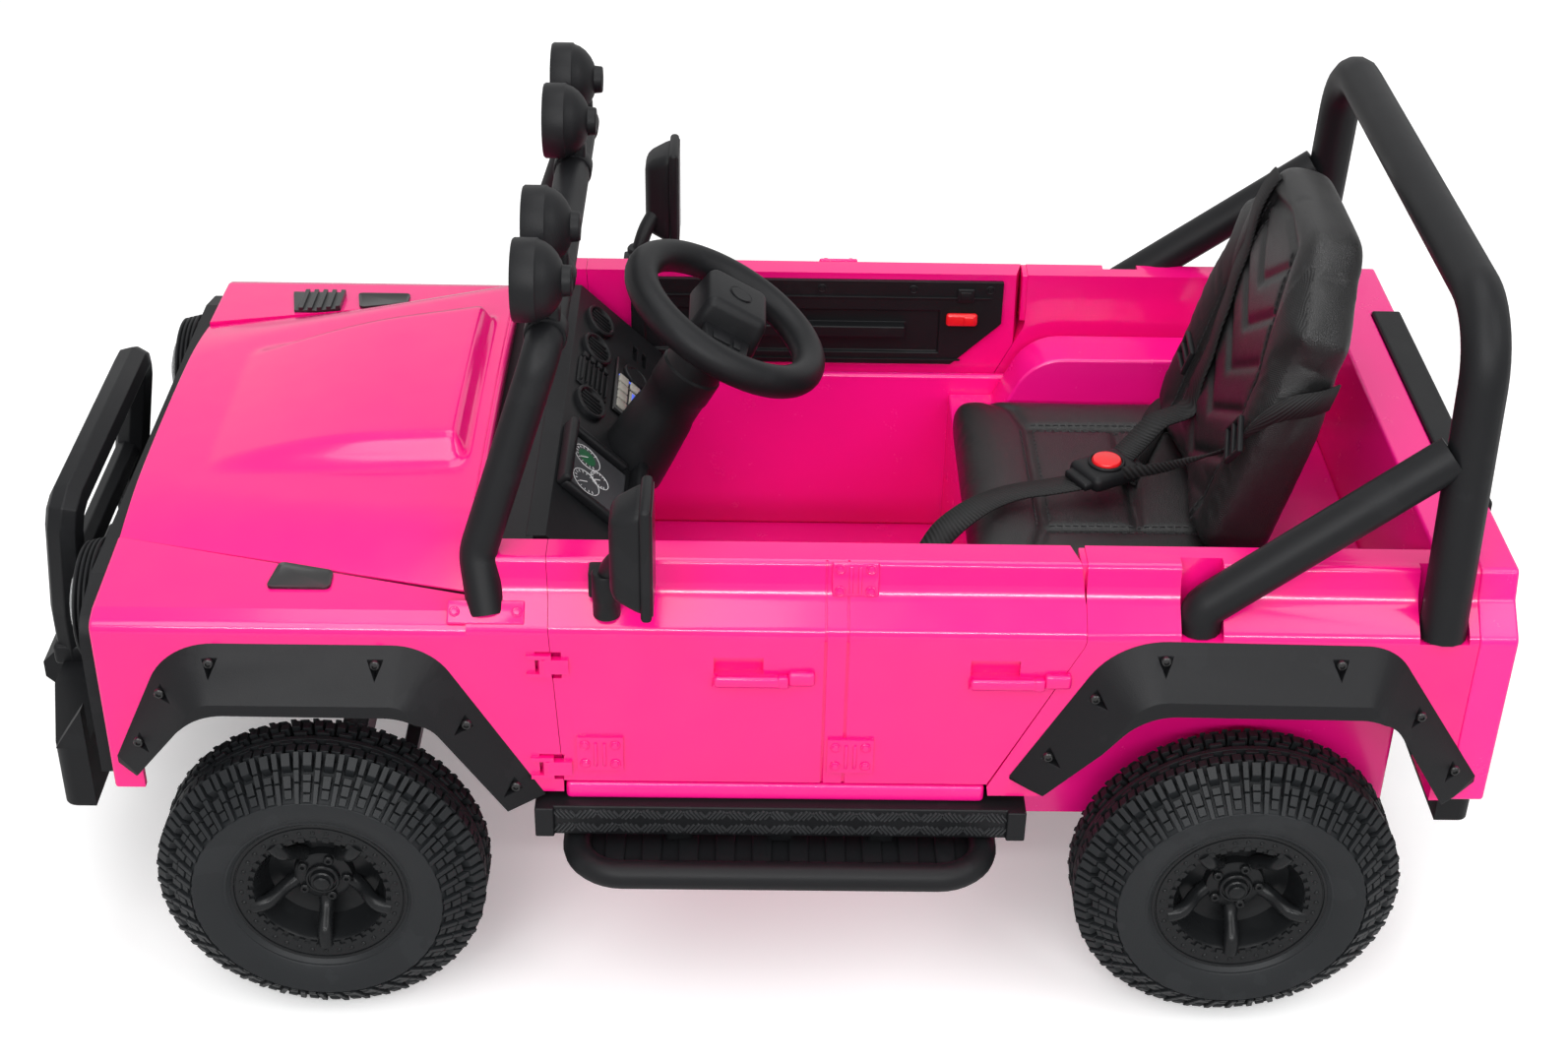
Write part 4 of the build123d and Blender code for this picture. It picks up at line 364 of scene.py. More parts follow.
PINK_LOOK = {"finishes": (pink,), "slot": "pink_plastic"}
CLEAR_LOOK = {"finishes": (clear,), "slot": "lamp_lens"}


def round_edges(piece, radius, segments=3, angle=30):
    """A Bevel that rounds the sharp edges of a finished piece."""
    rounding = piece.modifiers.new("bevel", "BEVEL")
    rounding.width = radius * MM
    rounding.segments = segments
    rounding.limit_method = "ANGLE"
    rounding.angle_limit = math.radians(angle)
    rounding.harden_normals = True
    return piece


def new_faces(bm, before, index):
    """Gives the faces made since before the material of that index."""
    for face in bm.faces:
        if face not in before:
            face.material_index = index


print("finishing helpers ready")


# %% Helpers that shape a piece
def place(x=0.0, y=0.0, z=0.0):
    """A move given in millimetres."""
    return Matrix.Translation((x * MM, y * MM, z * MM))


# Turns that lay the Z axis to the car's left, to its right and to its front
TO_LEFT = Matrix.Rotation(math.radians(-90), 4, "X")
TO_RIGHT = Matrix.Rotation(math.radians(90), 4, "X")
TO_FRONT = Matrix.Rotation(math.radians(90), 4, "Y")


def all_of(bm):
    """Every point, edge and face."""
    return bm.verts[:] + bm.edges[:] + bm.faces[:]


def edges_of(verts):
    """The edges at these points, each once and always in the same order."""
    return list(dict.fromkeys(edge for vert in verts for edge in vert.link_edges))


def faces_of(verts):
    """The faces at these points, each once and always in the same order."""
    return list(dict.fromkeys(face for vert in verts for face in vert.link_faces))


def bevel(bm, edges, radius, segments=3):
    """Rounds edges to a radius in millimetres."""
    return bmesh.ops.bevel(
        bm, geom=edges, offset=radius * MM, affect="EDGES", segments=segments, profile=0.5, material=-1,
        clamp_overlap=True,
    )


def cube(bm, centre, size, where=Matrix()):
    """A box of that size, in millimetres, round a centre, and its corners."""
    made = bmesh.ops.create_cube(bm, size=1.0)["verts"]
    scale = Matrix.Diagonal((*[side * MM for side in size], 1))
    bmesh.ops.transform(bm, matrix=where @ place(*centre) @ scale, verts=made)
    return made


def soft_cube(bm, centre, size, radius, segments=3, where=Matrix()):
    """A box with rounded edges."""
    bevel(bm, edges_of(cube(bm, centre, size, where)), radius, segments)


def taper(bm, corners, shares, about=(0, 0, 0)):
    """Draws a few corners in towards a point in millimetres."""
    bmesh.ops.scale(bm, vec=shares, space=place(*about).inverted(), verts=corners)


def linked(start):
    """All points joined to one point, nearest first."""
    found, seen = [start], {start}
    for vert in found:
        for edge in vert.link_edges:
            other = edge.other_vert(vert)
            if other not in seen:
                seen.add(other)
                found.append(other)
    return found


def ramp(value, start, end):
    """Soft step from 0 at start to 1 at end."""
    share = min(1.0, max(0.0, (value - start) / (end - start)))
    return share * share * (3 - 2 * share)


def spun(bm, profile, matrix=Matrix(), steps=48):
    """Turning about Z from rows of radius, height in millimetres, first and last on the axis or
    a closed ring."""
    ring = [bm.verts.new((radius * MM, 0, height * MM)) for radius, height in profile]
    edges = [bm.edges.new(pair) for pair in zip(ring, ring[1:])]
    bmesh.ops.spin(
        bm, geom=ring + edges, cent=(0, 0, 0), axis=(0, 0, 1), angle=2 * math.pi, steps=steps,
        use_merge=True,
    )
    verts = linked(ring[0])
    bmesh.ops.remove_doubles(bm, verts=verts, dist=0.00001)
    verts = [vert for vert in verts if vert.is_valid]
    bmesh.ops.recalc_face_normals(bm, faces=faces_of(verts))
    bmesh.ops.transform(bm, matrix=matrix, verts=verts)
    return verts


print("shaping helpers ready")


# %% Bent bars and the other hand
def bar_path(points, bend, steps=9):
    """Run through points in millimetres with every corner turned into an arc."""
    run = [Vector(points[0])]
    for before, here, after in zip(points, points[1:], points[2:]):
        here = Vector(here)
        back = (Vector(before) - here).normalized()
        on = (Vector(after) - here).normalized()
        half = back.angle(on) / 2
        centre = here + (back + on).normalized() * (bend / math.sin(half))
        start = here + back * (bend / math.tan(half)) - centre
        end = here + on * (bend / math.tan(half)) - centre
        run += [centre + start.slerp(end, step / steps).normalized() * bend for step in range(steps + 1)]
    return run + [Vector(points[-1])]


def bar(bm, points, radius, bend=0.0, radii=None, smooth=False, resolution=5, steps=9):
    """A round bar along points in millimetres, with arcs at its corners, or one smooth curve."""
    run = [Vector(p) for p in points] if smooth or len(points) == 2 else bar_path(points, bend, steps)
    curve = bpy.data.curves.new("bar", "CURVE")
    curve.dimensions = "3D"
    spline = curve.splines.new("NURBS" if smooth else "POLY")
    spline.points.add(len(run) - 1)
    for index, (point, spot) in enumerate(zip(spline.points, run)):
        point.co = (*(spot * MM), 1)
        point.radius = radii[index] if radii else 1.0
    if smooth:
        spline.order_u = 3
        spline.use_endpoint_u = True
        spline.resolution_u = 6
    curve.bevel_depth = radius * MM
    curve.bevel_resolution = resolution
    curve.use_fill_caps = True
    holder = bpy.data.objects.new("bar", curve)
    mesh = bpy.data.meshes.new_from_object(holder)
    bm.from_mesh(mesh)
    bpy.data.objects.remove(holder)
    bpy.data.meshes.remove(mesh)


def both_hands(bm):
    """Adds the mirror image across the middle of the car."""
    made = bmesh.ops.duplicate(bm, geom=all_of(bm))["geom"]
    verts = [item for item in made if isinstance(item, bmesh.types.BMVert)]
    bmesh.ops.scale(bm, vec=(1, -1, 1), verts=verts)
    faces = [item for item in made if isinstance(item, bmesh.types.BMFace)]
    bmesh.ops.reverse_faces(bm, faces=faces)


def to_hand(bm, side):
    """Turns a left-hand piece into a right-hand one where the side is -1."""
    if side < 0:
        bmesh.ops.scale(bm, vec=(1, -1, 1), verts=bm.verts[:])
        bmesh.ops.reverse_faces(bm, faces=bm.faces[:])


HANDS = (("left", 1), ("right", -1))
print("bar helpers ready")

# %% [markdown]
# ## Tyres
# A toy tyre is blown plastic: a flat sidewall, a sloping shoulder with 46 pairs of a narrow rib
# and a stepped block, and small blocks on the crown. One could array an object along a
# curve, but a spin in duplicate mode copies one pair of pitches round the axle exactly.

# %% Tyre
AXLE_Z, WHEEL_Y, PITCHES = 140.0, 290.0, 46
AXLES = {"front": 358.5, "rear": -421.5}
LUG_PITCH = 2 * math.pi / PITCHES
ROOT_RADIUS = 127.0
# Shoulder lines from the sidewall to the crown: rows of radius, offset
ROOT_LINE = ((105.5, 46.2), (127.5, 20.5))
TOP_LINE = ((106.0, 49.6), (139.8, 22.0))


def along_line(line, share):
    """The point at a share of a shoulder line."""
    return [a + (b - a) * share for a, b in zip(*line)]


def lug(bm, middle, wide, start, end, drop=0.0):
    """A block on the shoulder between two shares of the slope, a little narrower on top."""
    for corner in bmesh.ops.create_cube(bm, size=2.0)["verts"]:
        along = end if corner.co.z > 0 else start
        low, high = along_line(ROOT_LINE, along), along_line(TOP_LINE, along)
        lift = 1 - drop if corner.co.y > 0 else -0.3
        radius, offset = [a + (b - a) * lift for a, b in zip(low, high)]
        half = wide * (0.42 + 0.13 * along) * (0.92 if corner.co.y > 0 else 1.0)
        angle = middle + corner.co.x * half / radius
        corner.co = Vector((radius * math.cos(angle), offset, radius * math.sin(angle))) * MM


def crown_block(bm, middle, wide, offsets, top):
    """A block on the crown between two offsets from the middle of the tread."""
    for corner in bmesh.ops.create_cube(bm, size=2.0)["verts"]:
        offset = offsets[0] if corner.co.z < 0 else offsets[1]
        radius = top if corner.co.y > 0 else ROOT_RADIUS
        angle = middle + corner.co.x * wide / 2 / radius
        corner.co = Vector((radius * math.cos(angle), offset, radius * math.sin(angle))) * MM


# Rows of start and end share, drop of the top: the narrow rib, then the two kinds of block
rib_rows = [(0.0, 0.40, 0.0), (0.43, 0.66, 0.0), (0.69, 1.0, 0.0)]
block_rows = [
    [(0.10, 0.30, 0.45), (0.32, 0.58, 0.25), (0.74, 1.0, 0.08)],
    [(0.02, 0.20, 0.45), (0.23, 0.44, 0.25), (0.46, 0.60, 0.25), (0.74, 1.0, 0.08)],
]
RIB_WIDE, BLOCK_WIDE = 5.0, 7.8
# Rows of share of the pitch, width, offsets, radius of the top
crown_rows = [
    (0.2, 7.0, (12.0, 20.5), 139.2),
    (0.7, 7.6, (10.0, 19.0), 138.6),
    (0.45, 11.0, (4.6, 8.4), 138.0),
]
tread = bmesh.new()
for pitch in (0, 1):
    middle = pitch * LUG_PITCH
    for start, end, drop in rib_rows:
        lug(tread, middle, RIB_WIDE, start, end, drop)
    for start, end, drop in block_rows[pitch]:
        lug(tread, middle + LUG_PITCH / 2, BLOCK_WIDE, start, end, drop)
    for share, wide, offsets, top in crown_rows:
        crown_block(tread, middle + share * LUG_PITCH, wide, offsets, top)
inner_half = bmesh.ops.duplicate(tread, geom=all_of(tread))["geom"]
flipped = [item for item in inner_half if isinstance(item, bmesh.types.BMVert)]
bmesh.ops.scale(tread, vec=(1, -1, 1), verts=flipped)
half_pitch = Matrix.Rotation(LUG_PITCH / 2, 3, "Y")
bmesh.ops.rotate(tread, verts=flipped, cent=(0, 0, 0), matrix=half_pitch)


def round_copies(bm, geom, count):
    """Spins copies of a part round the axle until there are that many."""
    angle = 2 * math.pi * (count - 1) / count
    bmesh.ops.spin(
        bm, geom=geom, cent=(0, 0, 0), axis=(0, 1, 0), angle=angle, steps=count - 1, use_duplicate=True
    )


round_copies(tread, all_of(tread), PITCHES // 2)
bmesh.ops.recalc_face_normals(tread, faces=tread.faces[:])
half_wall = [
    (74.5, 20.0), (74.5, 38.2), (76.5, 40.0), (78.0, 41.6), (79.5, 41.2), (81.0, 42.4),
    (103.6, 48.4), (105.0, 48.0), (105.6, 46.2), (127.5, 20.5), (129.0, 17.0), (129.6, 3.4),
    (137.0, 2.4),
]
wall = half_wall + [(radius, -offset) for radius, offset in half_wall[::-1]] + half_wall[:1]
spun(tread, wall, TO_LEFT, steps=2 * PITCHES)
print("tread faces", len(tread.faces))

# %% [markdown]
# ## Wheels
# The wheel is one moulding: a flat ring with 36 dummy bolts, a toothed inner edge, a deep dish,
# five tubular spokes that dive to the hub, and a stepped cap. The body of it is a spin of one
# profile, and the small parts are spun copies of one part.

# %% Wheel
wheel = bmesh.new()
wheel_profile = [
    (0.0, 17.0), (21.0, 17.0), (24.5, 15.5), (26.0, 8.0), (40.0, 6.5), (47.0, 10.0), (52.5, 22.0),
    (54.5, 33.0), (56.0, 35.6), (59.5, 36.0), (60.2, 37.6), (70.4, 38.2), (70.9, 37.2),
    (71.7, 37.2), (72.2, 38.4), (74.4, 38.6), (75.6, 37.4), (75.6, -36.0), (68.0, -36.0),
    (60.0, -2.0), (26.0, -2.0), (26.0, -30.0), (0.0, -30.0),
]
spun(wheel, wheel_profile, TO_LEFT, steps=72)
cap_profile = [
    (0.0, 16.0), (14.6, 16.0), (14.6, 21.0), (13.8, 22.0), (12.4, 22.0), (11.8, 20.6), (10.6, 20.6),
    (10.2, 24.4), (9.2, 25.2), (7.6, 25.2), (7.0, 27.6), (4.6, 29.4), (0.0, 30.0),
]
spun(wheel, cap_profile, TO_LEFT, steps=36)
BOLTS, SPOKES = 36, 5
dome = bmesh.ops.create_uvsphere(wheel, u_segments=8, v_segments=6, radius=2.1 * MM)["verts"]
bmesh.ops.transform(wheel, matrix=place(65.6, 37.8, 0) @ Matrix.Diagonal((1, 0.75, 1, 1)), verts=dome)
tooth = cube(wheel, (58.6, 36.4, 0), (5.0, 3.0, 5.2))
nut_profile = [(0.0, 18.2), (1.9, 18.2), (1.9, 20.4), (3.6, 20.4), (4.4, 19.6), (4.4, 14.0), (0.0, 14.0)]
nut = spun(wheel, nut_profile, TO_LEFT, steps=12)
bmesh.ops.translate(wheel, vec=(20.2 * MM, 0, 0), verts=nut)
bmesh.ops.rotate(wheel, verts=nut, cent=(0, 0, 0), matrix=Matrix.Rotation(math.pi / SPOKES, 3, "Y"))
for part, count in ((dome, BOLTS), (tooth, BOLTS), (nut, SPOKES)):
    round_copies(wheel, list(part) + edges_of(part) + faces_of(part), count)
spoke_run = [(60.0, 33.0, 0), (52.0, 34.4, 0), (44.0, 30.0, 0), (33.0, 14.0, 0), (22.0, 9.0, 0)]
for spoke in range(SPOKES):
    before = set(wheel.verts)
    bar(wheel, spoke_run, 6.4, radii=[1.15, 1.05, 1.0, 0.95, 1.1], smooth=True)
    added = [vert for vert in wheel.verts if vert not in before]
    turn = Matrix.Rotation(2 * math.pi * spoke / SPOKES + math.radians(90), 3, "Y")
    bmesh.ops.rotate(wheel, verts=added, cent=(0, 0, 0), matrix=turn)
print("wheel faces", len(wheel.faces))

# %% [markdown]
# ## Four corners
# All four wheels are the same moulding, turned to face outwards. A linked copy would save
# memory, but every piece keeps its place in its own mesh here, so each gets a moved copy.

# %% Tyres and wheels in place
wheel_looks = [("tyre", tread, tyre_black, "tyre"), ("rim", wheel, rim_black, "rim_plastic")]
for end, axle_x in AXLES.items():
    for hand, side in HANDS:
        corner_name = end + "_" + hand
        for label, source, finish, slot in wheel_looks:
            bm = source.copy()
            bmesh.ops.translate(bm, vec=Vector((axle_x, WHEEL_Y, AXLE_Z)) * MM, verts=bm.verts[:])
            to_hand(bm, side)
            stood_for = [label + "_" + corner_name]
            body = "wheel_" + corner_name
            made = add_piece(corner_name + "_" + label, bm, stood_for, (finish,), slot, body)
            if label == "tyre":
                round_edges(made, 0.5, 1, 50)
print("corners made", 2 * len(AXLES))

# %% [markdown]
# ## Tube work
# The roll hoop, its braces, the windscreen frame, the bull bar and the steps are bent tube. A
# poly curve with arcs at its corners and a round bevel gives a true bend, which a
# subdivided box only comes near to. Each run repeats the CAD's own corner points.

# %% Hoop, braces and windscreen frame
HOOP_X, HOOP_FOOT, HOOP_TOP, TUBE_FOOT = -560.0, 290, 665, 393


def mirrored_run(half):
    """A run of points on the left and the same run back on the right."""
    return half + [(x, -y, z) for x, y, z in half[::-1]]


hoop = bmesh.new()
bar(hoop, mirrored_run([(HOOP_X, HOOP_FOOT, TUBE_FOOT), (HOOP_X, 262, HOOP_TOP)]), 19.0, 62.0)
add_piece("hoop_tube", hoop, ["roll_hoop"])
braces = bmesh.new()
bar(braces, [(-365, 283, TUBE_FOOT), (-365, 283, 412), (-547, 272.6, 551)], 17.5, 17.5)
both_hands(braces)
add_piece("brace_tubes", braces, ["hoop_braces"])
screen = bmesh.new()
bar(screen, mirrored_run([(208.5, 284.5, 400), (216, 262, 444), (160, 228, 612)]), 15.5, 30.0)
add_piece("screen_tube", screen, ["windscreen_frame"])
print("hoop, braces and screen frame made")

# %% [markdown]
# ## Bull bar
# The bar over the bumper is not round: it is an eight-sided moulding with mitred corners, on two
# blocks. The same bar helper makes it, with so few steps that the flats and mitres show.

# %% Bull bar
BULL_X, BULL_HALF = 598, 122
bull = bmesh.new()
bull_run = [(BULL_X, BULL_HALF, 236), (BULL_X, BULL_HALF, 290), (583, 138, 400)]
bar(bull, mirrored_run(bull_run), 16.5, 16.0, resolution=2, steps=2)
bar(bull, [(BULL_X, -BULL_HALF, 307), (BULL_X, BULL_HALF, 307)], 12.5, resolution=2)
for side in (1, -1):
    soft_cube(bull, (BULL_X, side * BULL_HALF, 246), (34, 32, 22), 5.0)
round_edges(add_piece("bull_tubes", bull, ["bull_bar"], angle=30), 1.6)
print("bull bar made")

# %% [markdown]
# ## Roof lamps and headlamps
# Round lamps are turnings: a shell, a chrome bowl and a clear lens with a slight dome. A spin
# of a profile makes each one in a single operator.

# %% Roof lamps
POD_X, POD_Z, TUBE_Z = 160, 657, 612
pods, pod_glass = bmesh.new(), bmesh.new()
pod_profile = [
    (0.0, -20.6), (6.0, -20.6), (6.6, -22.0), (11.0, -22.0), (12.0, -21.0), (12.6, -14.6), (15.5, -13.6),
    (21.0, -10.6), (26.0, -6.4), (29.6, -1.4), (31.6, 3.6), (32.2, 4.2), (33.0, 5.0), (33.0, 22.4),
    (31.8, 24.0), (28.4, 24.0), (27.6, 22.0), (27.0, 14.0), (0.0, 6.0),
]
lens_profile = [(0.0, 25.2), (10.0, 24.9), (20.0, 23.6), (27.4, 21.4), (27.4, 19.6), (0.0, 22.0)]
clamp_profile = [(0, 0), (16.5, 0), (17.2, 1), (17.2, 19), (16.5, 20), (0, 20)]
for pod_y in (107.0, 203.0):
    spot = place(POD_X, pod_y, POD_Z) @ TO_FRONT
    spun(pods, pod_profile, spot)
    spun(pod_glass, lens_profile, spot)
    soft_cube(pods, (POD_X - 2, pod_y, 627), (20, 17, 22), 4.0)
    spun(pods, clamp_profile, place(POD_X, pod_y - 10, TUBE_Z) @ TO_LEFT, steps=32)
both_hands(pods)
both_hands(pod_glass)
add_piece("roof_lamp_pods", pods, ["roof_lamps"])
add_piece("roof_lamp_lenses", pod_glass, **CLEAR_LOOK)
print("roof lamps made")

# %% Headlamps
bowls, head_glass, rings = bmesh.new(), bmesh.new(), bmesh.new()
head_spot = place(536, 200, 350) @ TO_FRONT
glass_profile = [(0, 30.5), (14, 29.5), (28, 25.5), (37, 19.0), (40.6, 12.0), (40.6, 3.0), (0, 3.0)]
spun(head_glass, glass_profile, head_spot, steps=64)
spun(bowls, [(0, 1.0), (40, 1.0), (40, 2.6), (30, 2.2), (0, 1.6)], head_spot, steps=64)
for step in range(4):
    low, radius = 1.5 + 4.4 * step, 52.5 - 1.1 * step
    ring_profile = [
        (radius, low), (radius + 1.1, low + 1.0), (radius + 0.9, low + 2.6), (radius - 0.5, low + 3.4),
        (44.0, low + 3.4), (44.0, low), (radius, low),
    ]
    spun(rings, ring_profile, head_spot, steps=64)
for bm in (bowls, head_glass, rings):
    both_hands(bm)
add_piece("headlamp_glass", head_glass, ["headlamps"], **CLEAR_LOOK)
add_piece("headlamp_bowls", bowls, finishes=(silver,), slot="lamp_lens")
add_piece("headlamp_rings", rings)
print("headlamps made")

# %% [markdown]
# ## Door mirrors
# Each mirror is a hinged barrel on a bracket, a short arm and a tall tapered shell with a slab
# rim. A cube bevelled and tapered by moving its front face is quicker than sculpting.

# %% Mirrors
MIRROR_X, MIRROR_Y, MIRROR_Z = 92, 325, 490
barrel_profile = [
    (0, 404), (10, 404), (11, 405), (11, 420), (11.6, 421), (11.6, 444), (10.6, 445.5), (0, 446),
]
for hand, side in HANDS:
    bm = bmesh.new()
    spun(bm, barrel_profile, place(112, 290, 0), steps=28)
    soft_cube(bm, (112, 279, 430), (29, 18, 24), 2.0)
    soft_cube(bm, (112, 281, 416), (22, 12, 8), 1.5)
    bar(bm, [(112, 290, 440), (108, 296, 458), (96, 312, 474), (90, 322, 484)], 7.5, smooth=True)
    shell = cube(bm, (MIRROR_X, MIRROR_Y, MIRROR_Z), (28, 54, 100))
    front = [corner for corner in shell if corner.co.x > MIRROR_X * MM]
    taper(bm, front, (1, 0.70, 0.74), (MIRROR_X, MIRROR_Y, MIRROR_Z))
    bevel(bm, edges_of(shell), 9.0, 4)
    soft_cube(bm, (77.5, MIRROR_Y, MIRROR_Z), (9, 56, 102), 3.6)
    before = set(bm.faces)
    soft_cube(bm, (72.6, MIRROR_Y, MIRROR_Z), (1.2, 48, 93), 0.5)
    new_faces(bm, before, 1)
    to_hand(bm, side)
    name, stood_for = "mirror_set_" + hand, ["mirror_" + hand]
    add_piece(name, bm, stood_for, (black, smooth_black), body="door_" + hand)
print("mirrors made")

# %% [markdown]
# ## Steering wheel
# A padded rim, two flat side spokes and a square horn pad with a blank round boss. The rim is
# a spin of a circle about the column, and the pad a bevelled cube.

# %% Steering wheel
lean = place(21.5, 0, 520) @ Matrix.Rotation(math.radians(-30), 4, "Y")
RIM_RADIUS, RIM_THICK = 85, 14.6
steering = bmesh.new()
circle = [2 * math.pi * step / 20 for step in range(21)]
rim_profile = [(RIM_RADIUS + RIM_THICK * math.cos(a), RIM_THICK * math.sin(a)) for a in circle]
spun(steering, rim_profile, steps=96)
for side in (1, -1):
    arm = cube(steering, (0, side * 54, -1), (46, 44, 9))
    taper(steering, [corner for corner in arm if abs(corner.co.y) > 60 * MM], (0.78, 1, 1))
    bevel(steering, edges_of(arm), 2.5)
    soft_cube(steering, (6, side * 50, 4), (17, 12, 3), 1.0)
    soft_cube(steering, (-9, side * 50, 4), (7, 12, 3), 1.0)
horn_pad = cube(steering, (0, 0, 6), (66, 72, 40))
taper(steering, [corner for corner in horn_pad if corner.co.z > 6 * MM], (0.86, 0.86, 1))
bevel(steering, edges_of(horn_pad), 8.0, 5)
boss_profile = [(0, 27), (9.6, 27), (9.8, 26.4), (10.6, 26.4), (10.8, 26.7), (10.8, 24), (0, 24)]
spun(steering, boss_profile, steps=40)
spun(steering, [(0, -60), (8.6, -60), (9.0, -59), (9.0, 0), (0, 0)], steps=32)
bmesh.ops.transform(steering, matrix=lean, verts=steering.verts[:])
add_piece("steering_wheel_rim_and_pad", steering, ["steering_wheel"], body="steering_wheel")
column = bmesh.new()
column_profile = [
    (0, -178), (33, -178), (33.6, -176), (32, -150), (29, -112), (27.2, -104), (27.2, -84),
    (28.4, -82), (28.4, -60), (26.6, -58), (25.4, -30), (24.0, -25), (9.6, -24.4), (9.6, -61), (0, -61),
]
spun(column, column_profile, lean)
add_piece("column_shroud", column, ["steering_column"])
print("steering wheel and column made")

# %% [markdown]
# ## Seat
# The seat is artificial leather over foam. Each pad starts as a smaller block, is remeshed
# into an even net, and swells under cloth pressure for twenty frames, which pulls its sides
# in between the corners the way stitched covers do. Seams and stitches come after that.

# %% Leather
leather = Finish("black leather", (0.008, 0.008, 0.0085), 0.32, Specular_IOR_Level=0.40)
pebbles = {"Vector": leather.coordinates(), "Scale": 620.0}
grain = leather.node("TexVoronoi", {"feature": "DISTANCE_TO_EDGE"}, pebbles)
crease = leather.noise(46.0, 5.0)
leather.set(Roughness=0.24 + crease * 0.16)
leather.set(Base_Color=leather.mix(crease, (0.006, 0.006, 0.0065, 1), (0.012, 0.012, 0.0125, 1)))
leather.bump(grain ** 0.4 + crease * 0.8, 0.00030)
woven_leather = Finish("woven bolster leather", (0.008, 0.008, 0.0085), 0.42, Specular_IOR_Level=0.3)
THREADS = 150.0
weft, warp = woven_leather.waves("Z", THREADS), woven_leather.waves("Y", THREADS)
crossing = (weft - 0.5) * (warp - 0.5) * 2.0 + 0.5
woven_leather.set(Roughness=0.36 + crossing * 0.2)
woven_leather.bump(crossing, 0.0004)
print("leather ready")


# %% [markdown]
# ## Padding
# Foam under a stitched cover bulges between its seams. Sculpting could show that, but cloth with
# air pressure does it by itself: the underside and the seams are pinned, the rest swells, and
# each seam is then drawn in a little further. No point may move more than a set distance.

# %% Padded pieces by cloth pressure
SEAM_DEEP, SEAM_WIDE, SEAM_HELD, MOST_SWELL = 3.6, 4.2, 3.0, 9.0
NET_SIZE, NET_PASSES, SWELL_FRAMES = 4.2, 16, 20
FAR_OFF = 1e9


def nearest_on(lines, point):
    """Distance from a point to the nearest of a set of seam lines, all in the plane of the pad."""
    best = FAR_OFF
    for start, stop in lines:
        start, stop = Vector(start), Vector(stop)
        run = stop - start
        share = min(1.0, max(0.0, (point - start).dot(run) / run.length_squared))
        best = min(best, (point - start - run * share).length)
    return best


def evaluated(piece):
    """The piece with its modifiers applied."""
    return piece.evaluated_get(bpy.context.evaluated_depsgraph_get())


def even_net(bm, name):
    """An object whose mesh is a smooth and even net over the block."""
    mesh = bpy.data.meshes.new(name)
    bm.to_mesh(mesh)
    bm.free()
    piece = bpy.data.objects.new(name, mesh)
    bpy.context.scene.collection.objects.link(piece)
    remesh = piece.modifiers.new("net", "REMESH")
    remesh.mode = "VOXEL"
    remesh.voxel_size = NET_SIZE * MM
    mesh = bpy.data.meshes.new_from_object(evaluated(piece))
    piece.modifiers.clear()
    piece.data = mesh
    net = bmesh.new()
    net.from_mesh(mesh)
    for _ in range(NET_PASSES):
        bmesh.ops.smooth_vert(
            net, verts=net.verts[:], factor=0.5, use_axis_x=True, use_axis_y=True, use_axis_z=True
        )
    net.to_mesh(mesh)
    net.free()
    return piece


def blown_up(piece, held):
    """Where air pressure carries the points of a net that is pinned at the held ones."""
    piece.vertex_groups.new(name="pins").add(held, 1.0, "REPLACE")
    cloth = piece.modifiers.new("cloth", "CLOTH")
    cloth.settings.vertex_group_mass = "pins"
    cloth.settings.use_pressure = True
    cloth.settings.uniform_pressure_force = 5.0
    cloth.settings.effector_weights.gravity = 0
    cloth.settings.tension_stiffness = 6
    cloth.settings.compression_stiffness = 6
    cloth.settings.bending_stiffness = 0.3
    cloth.point_cache.frame_start = 1
    cloth.point_cache.frame_end = SWELL_FRAMES
    for step in range(1, SWELL_FRAMES + 1):
        bpy.context.scene.frame_set(step)
    swollen = [vert.co.copy() for vert in evaluated(piece).data.vertices]
    piece.modifiers.clear()
    bpy.context.scene.frame_set(1)
    return swollen


def swell(bm, name, plane, seams, held_below):
    """A pad from a block modelled flat in a plane: an even net, pinned at its seams and its
    underside and filled by cloth pressure, with the seams drawn in."""
    bmesh.ops.transform(bm, matrix=plane, verts=bm.verts[:])
    piece = even_net(bm, name)
    verts = piece.data.vertices
    outward = plane.to_3x3() @ Vector((0, 0, 1))
    to_plane = plane.inverted()
    start = [vert.co.copy() for vert in verts]
    flat = [to_plane @ spot / MM for spot in start]
    gaps = []
    for vert, spot in zip(verts, flat):
        faces_out = vert.normal.dot(outward) > 0.4
        gaps.append(nearest_on(seams, spot.xy) if faces_out else FAR_OFF)
    held = [i for i, spot in enumerate(flat) if spot.z < held_below or gaps[i] < SEAM_HELD]
    most = 0.0
    for vert, first, last, gap in zip(verts, start, blown_up(piece, held), gaps):
        step = last - first
        most = max(most, step.length / MM)
        if step.length > MOST_SWELL * MM:
            step *= MOST_SWELL * MM / step.length
        vert.co = first + step - outward * SEAM_DEEP * MM * math.exp(-((gap / SEAM_WIDE) ** 2))
    print(name, "points", len(verts), "most moved", round(most, 1), "mm")
    return piece


def finish_pad(piece, stands_for, is_bolster):
    """Leather, with the bolsters in the woven kind, and the duties of a padded piece."""
    piece.data.materials.clear()
    for finish in (leather, woven_leather):
        piece.data.materials.append(finish.material)
    for face in piece.data.polygons:
        face.material_index = int(is_bolster(face.center / MM))
    piece.data.shade_smooth()
    smooth = piece.modifiers.new("smooth", "SUBSURF")
    smooth.levels = smooth.render_levels = 1
    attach(piece, "chassis")
    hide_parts(*stands_for)


print("padding helpers ready")

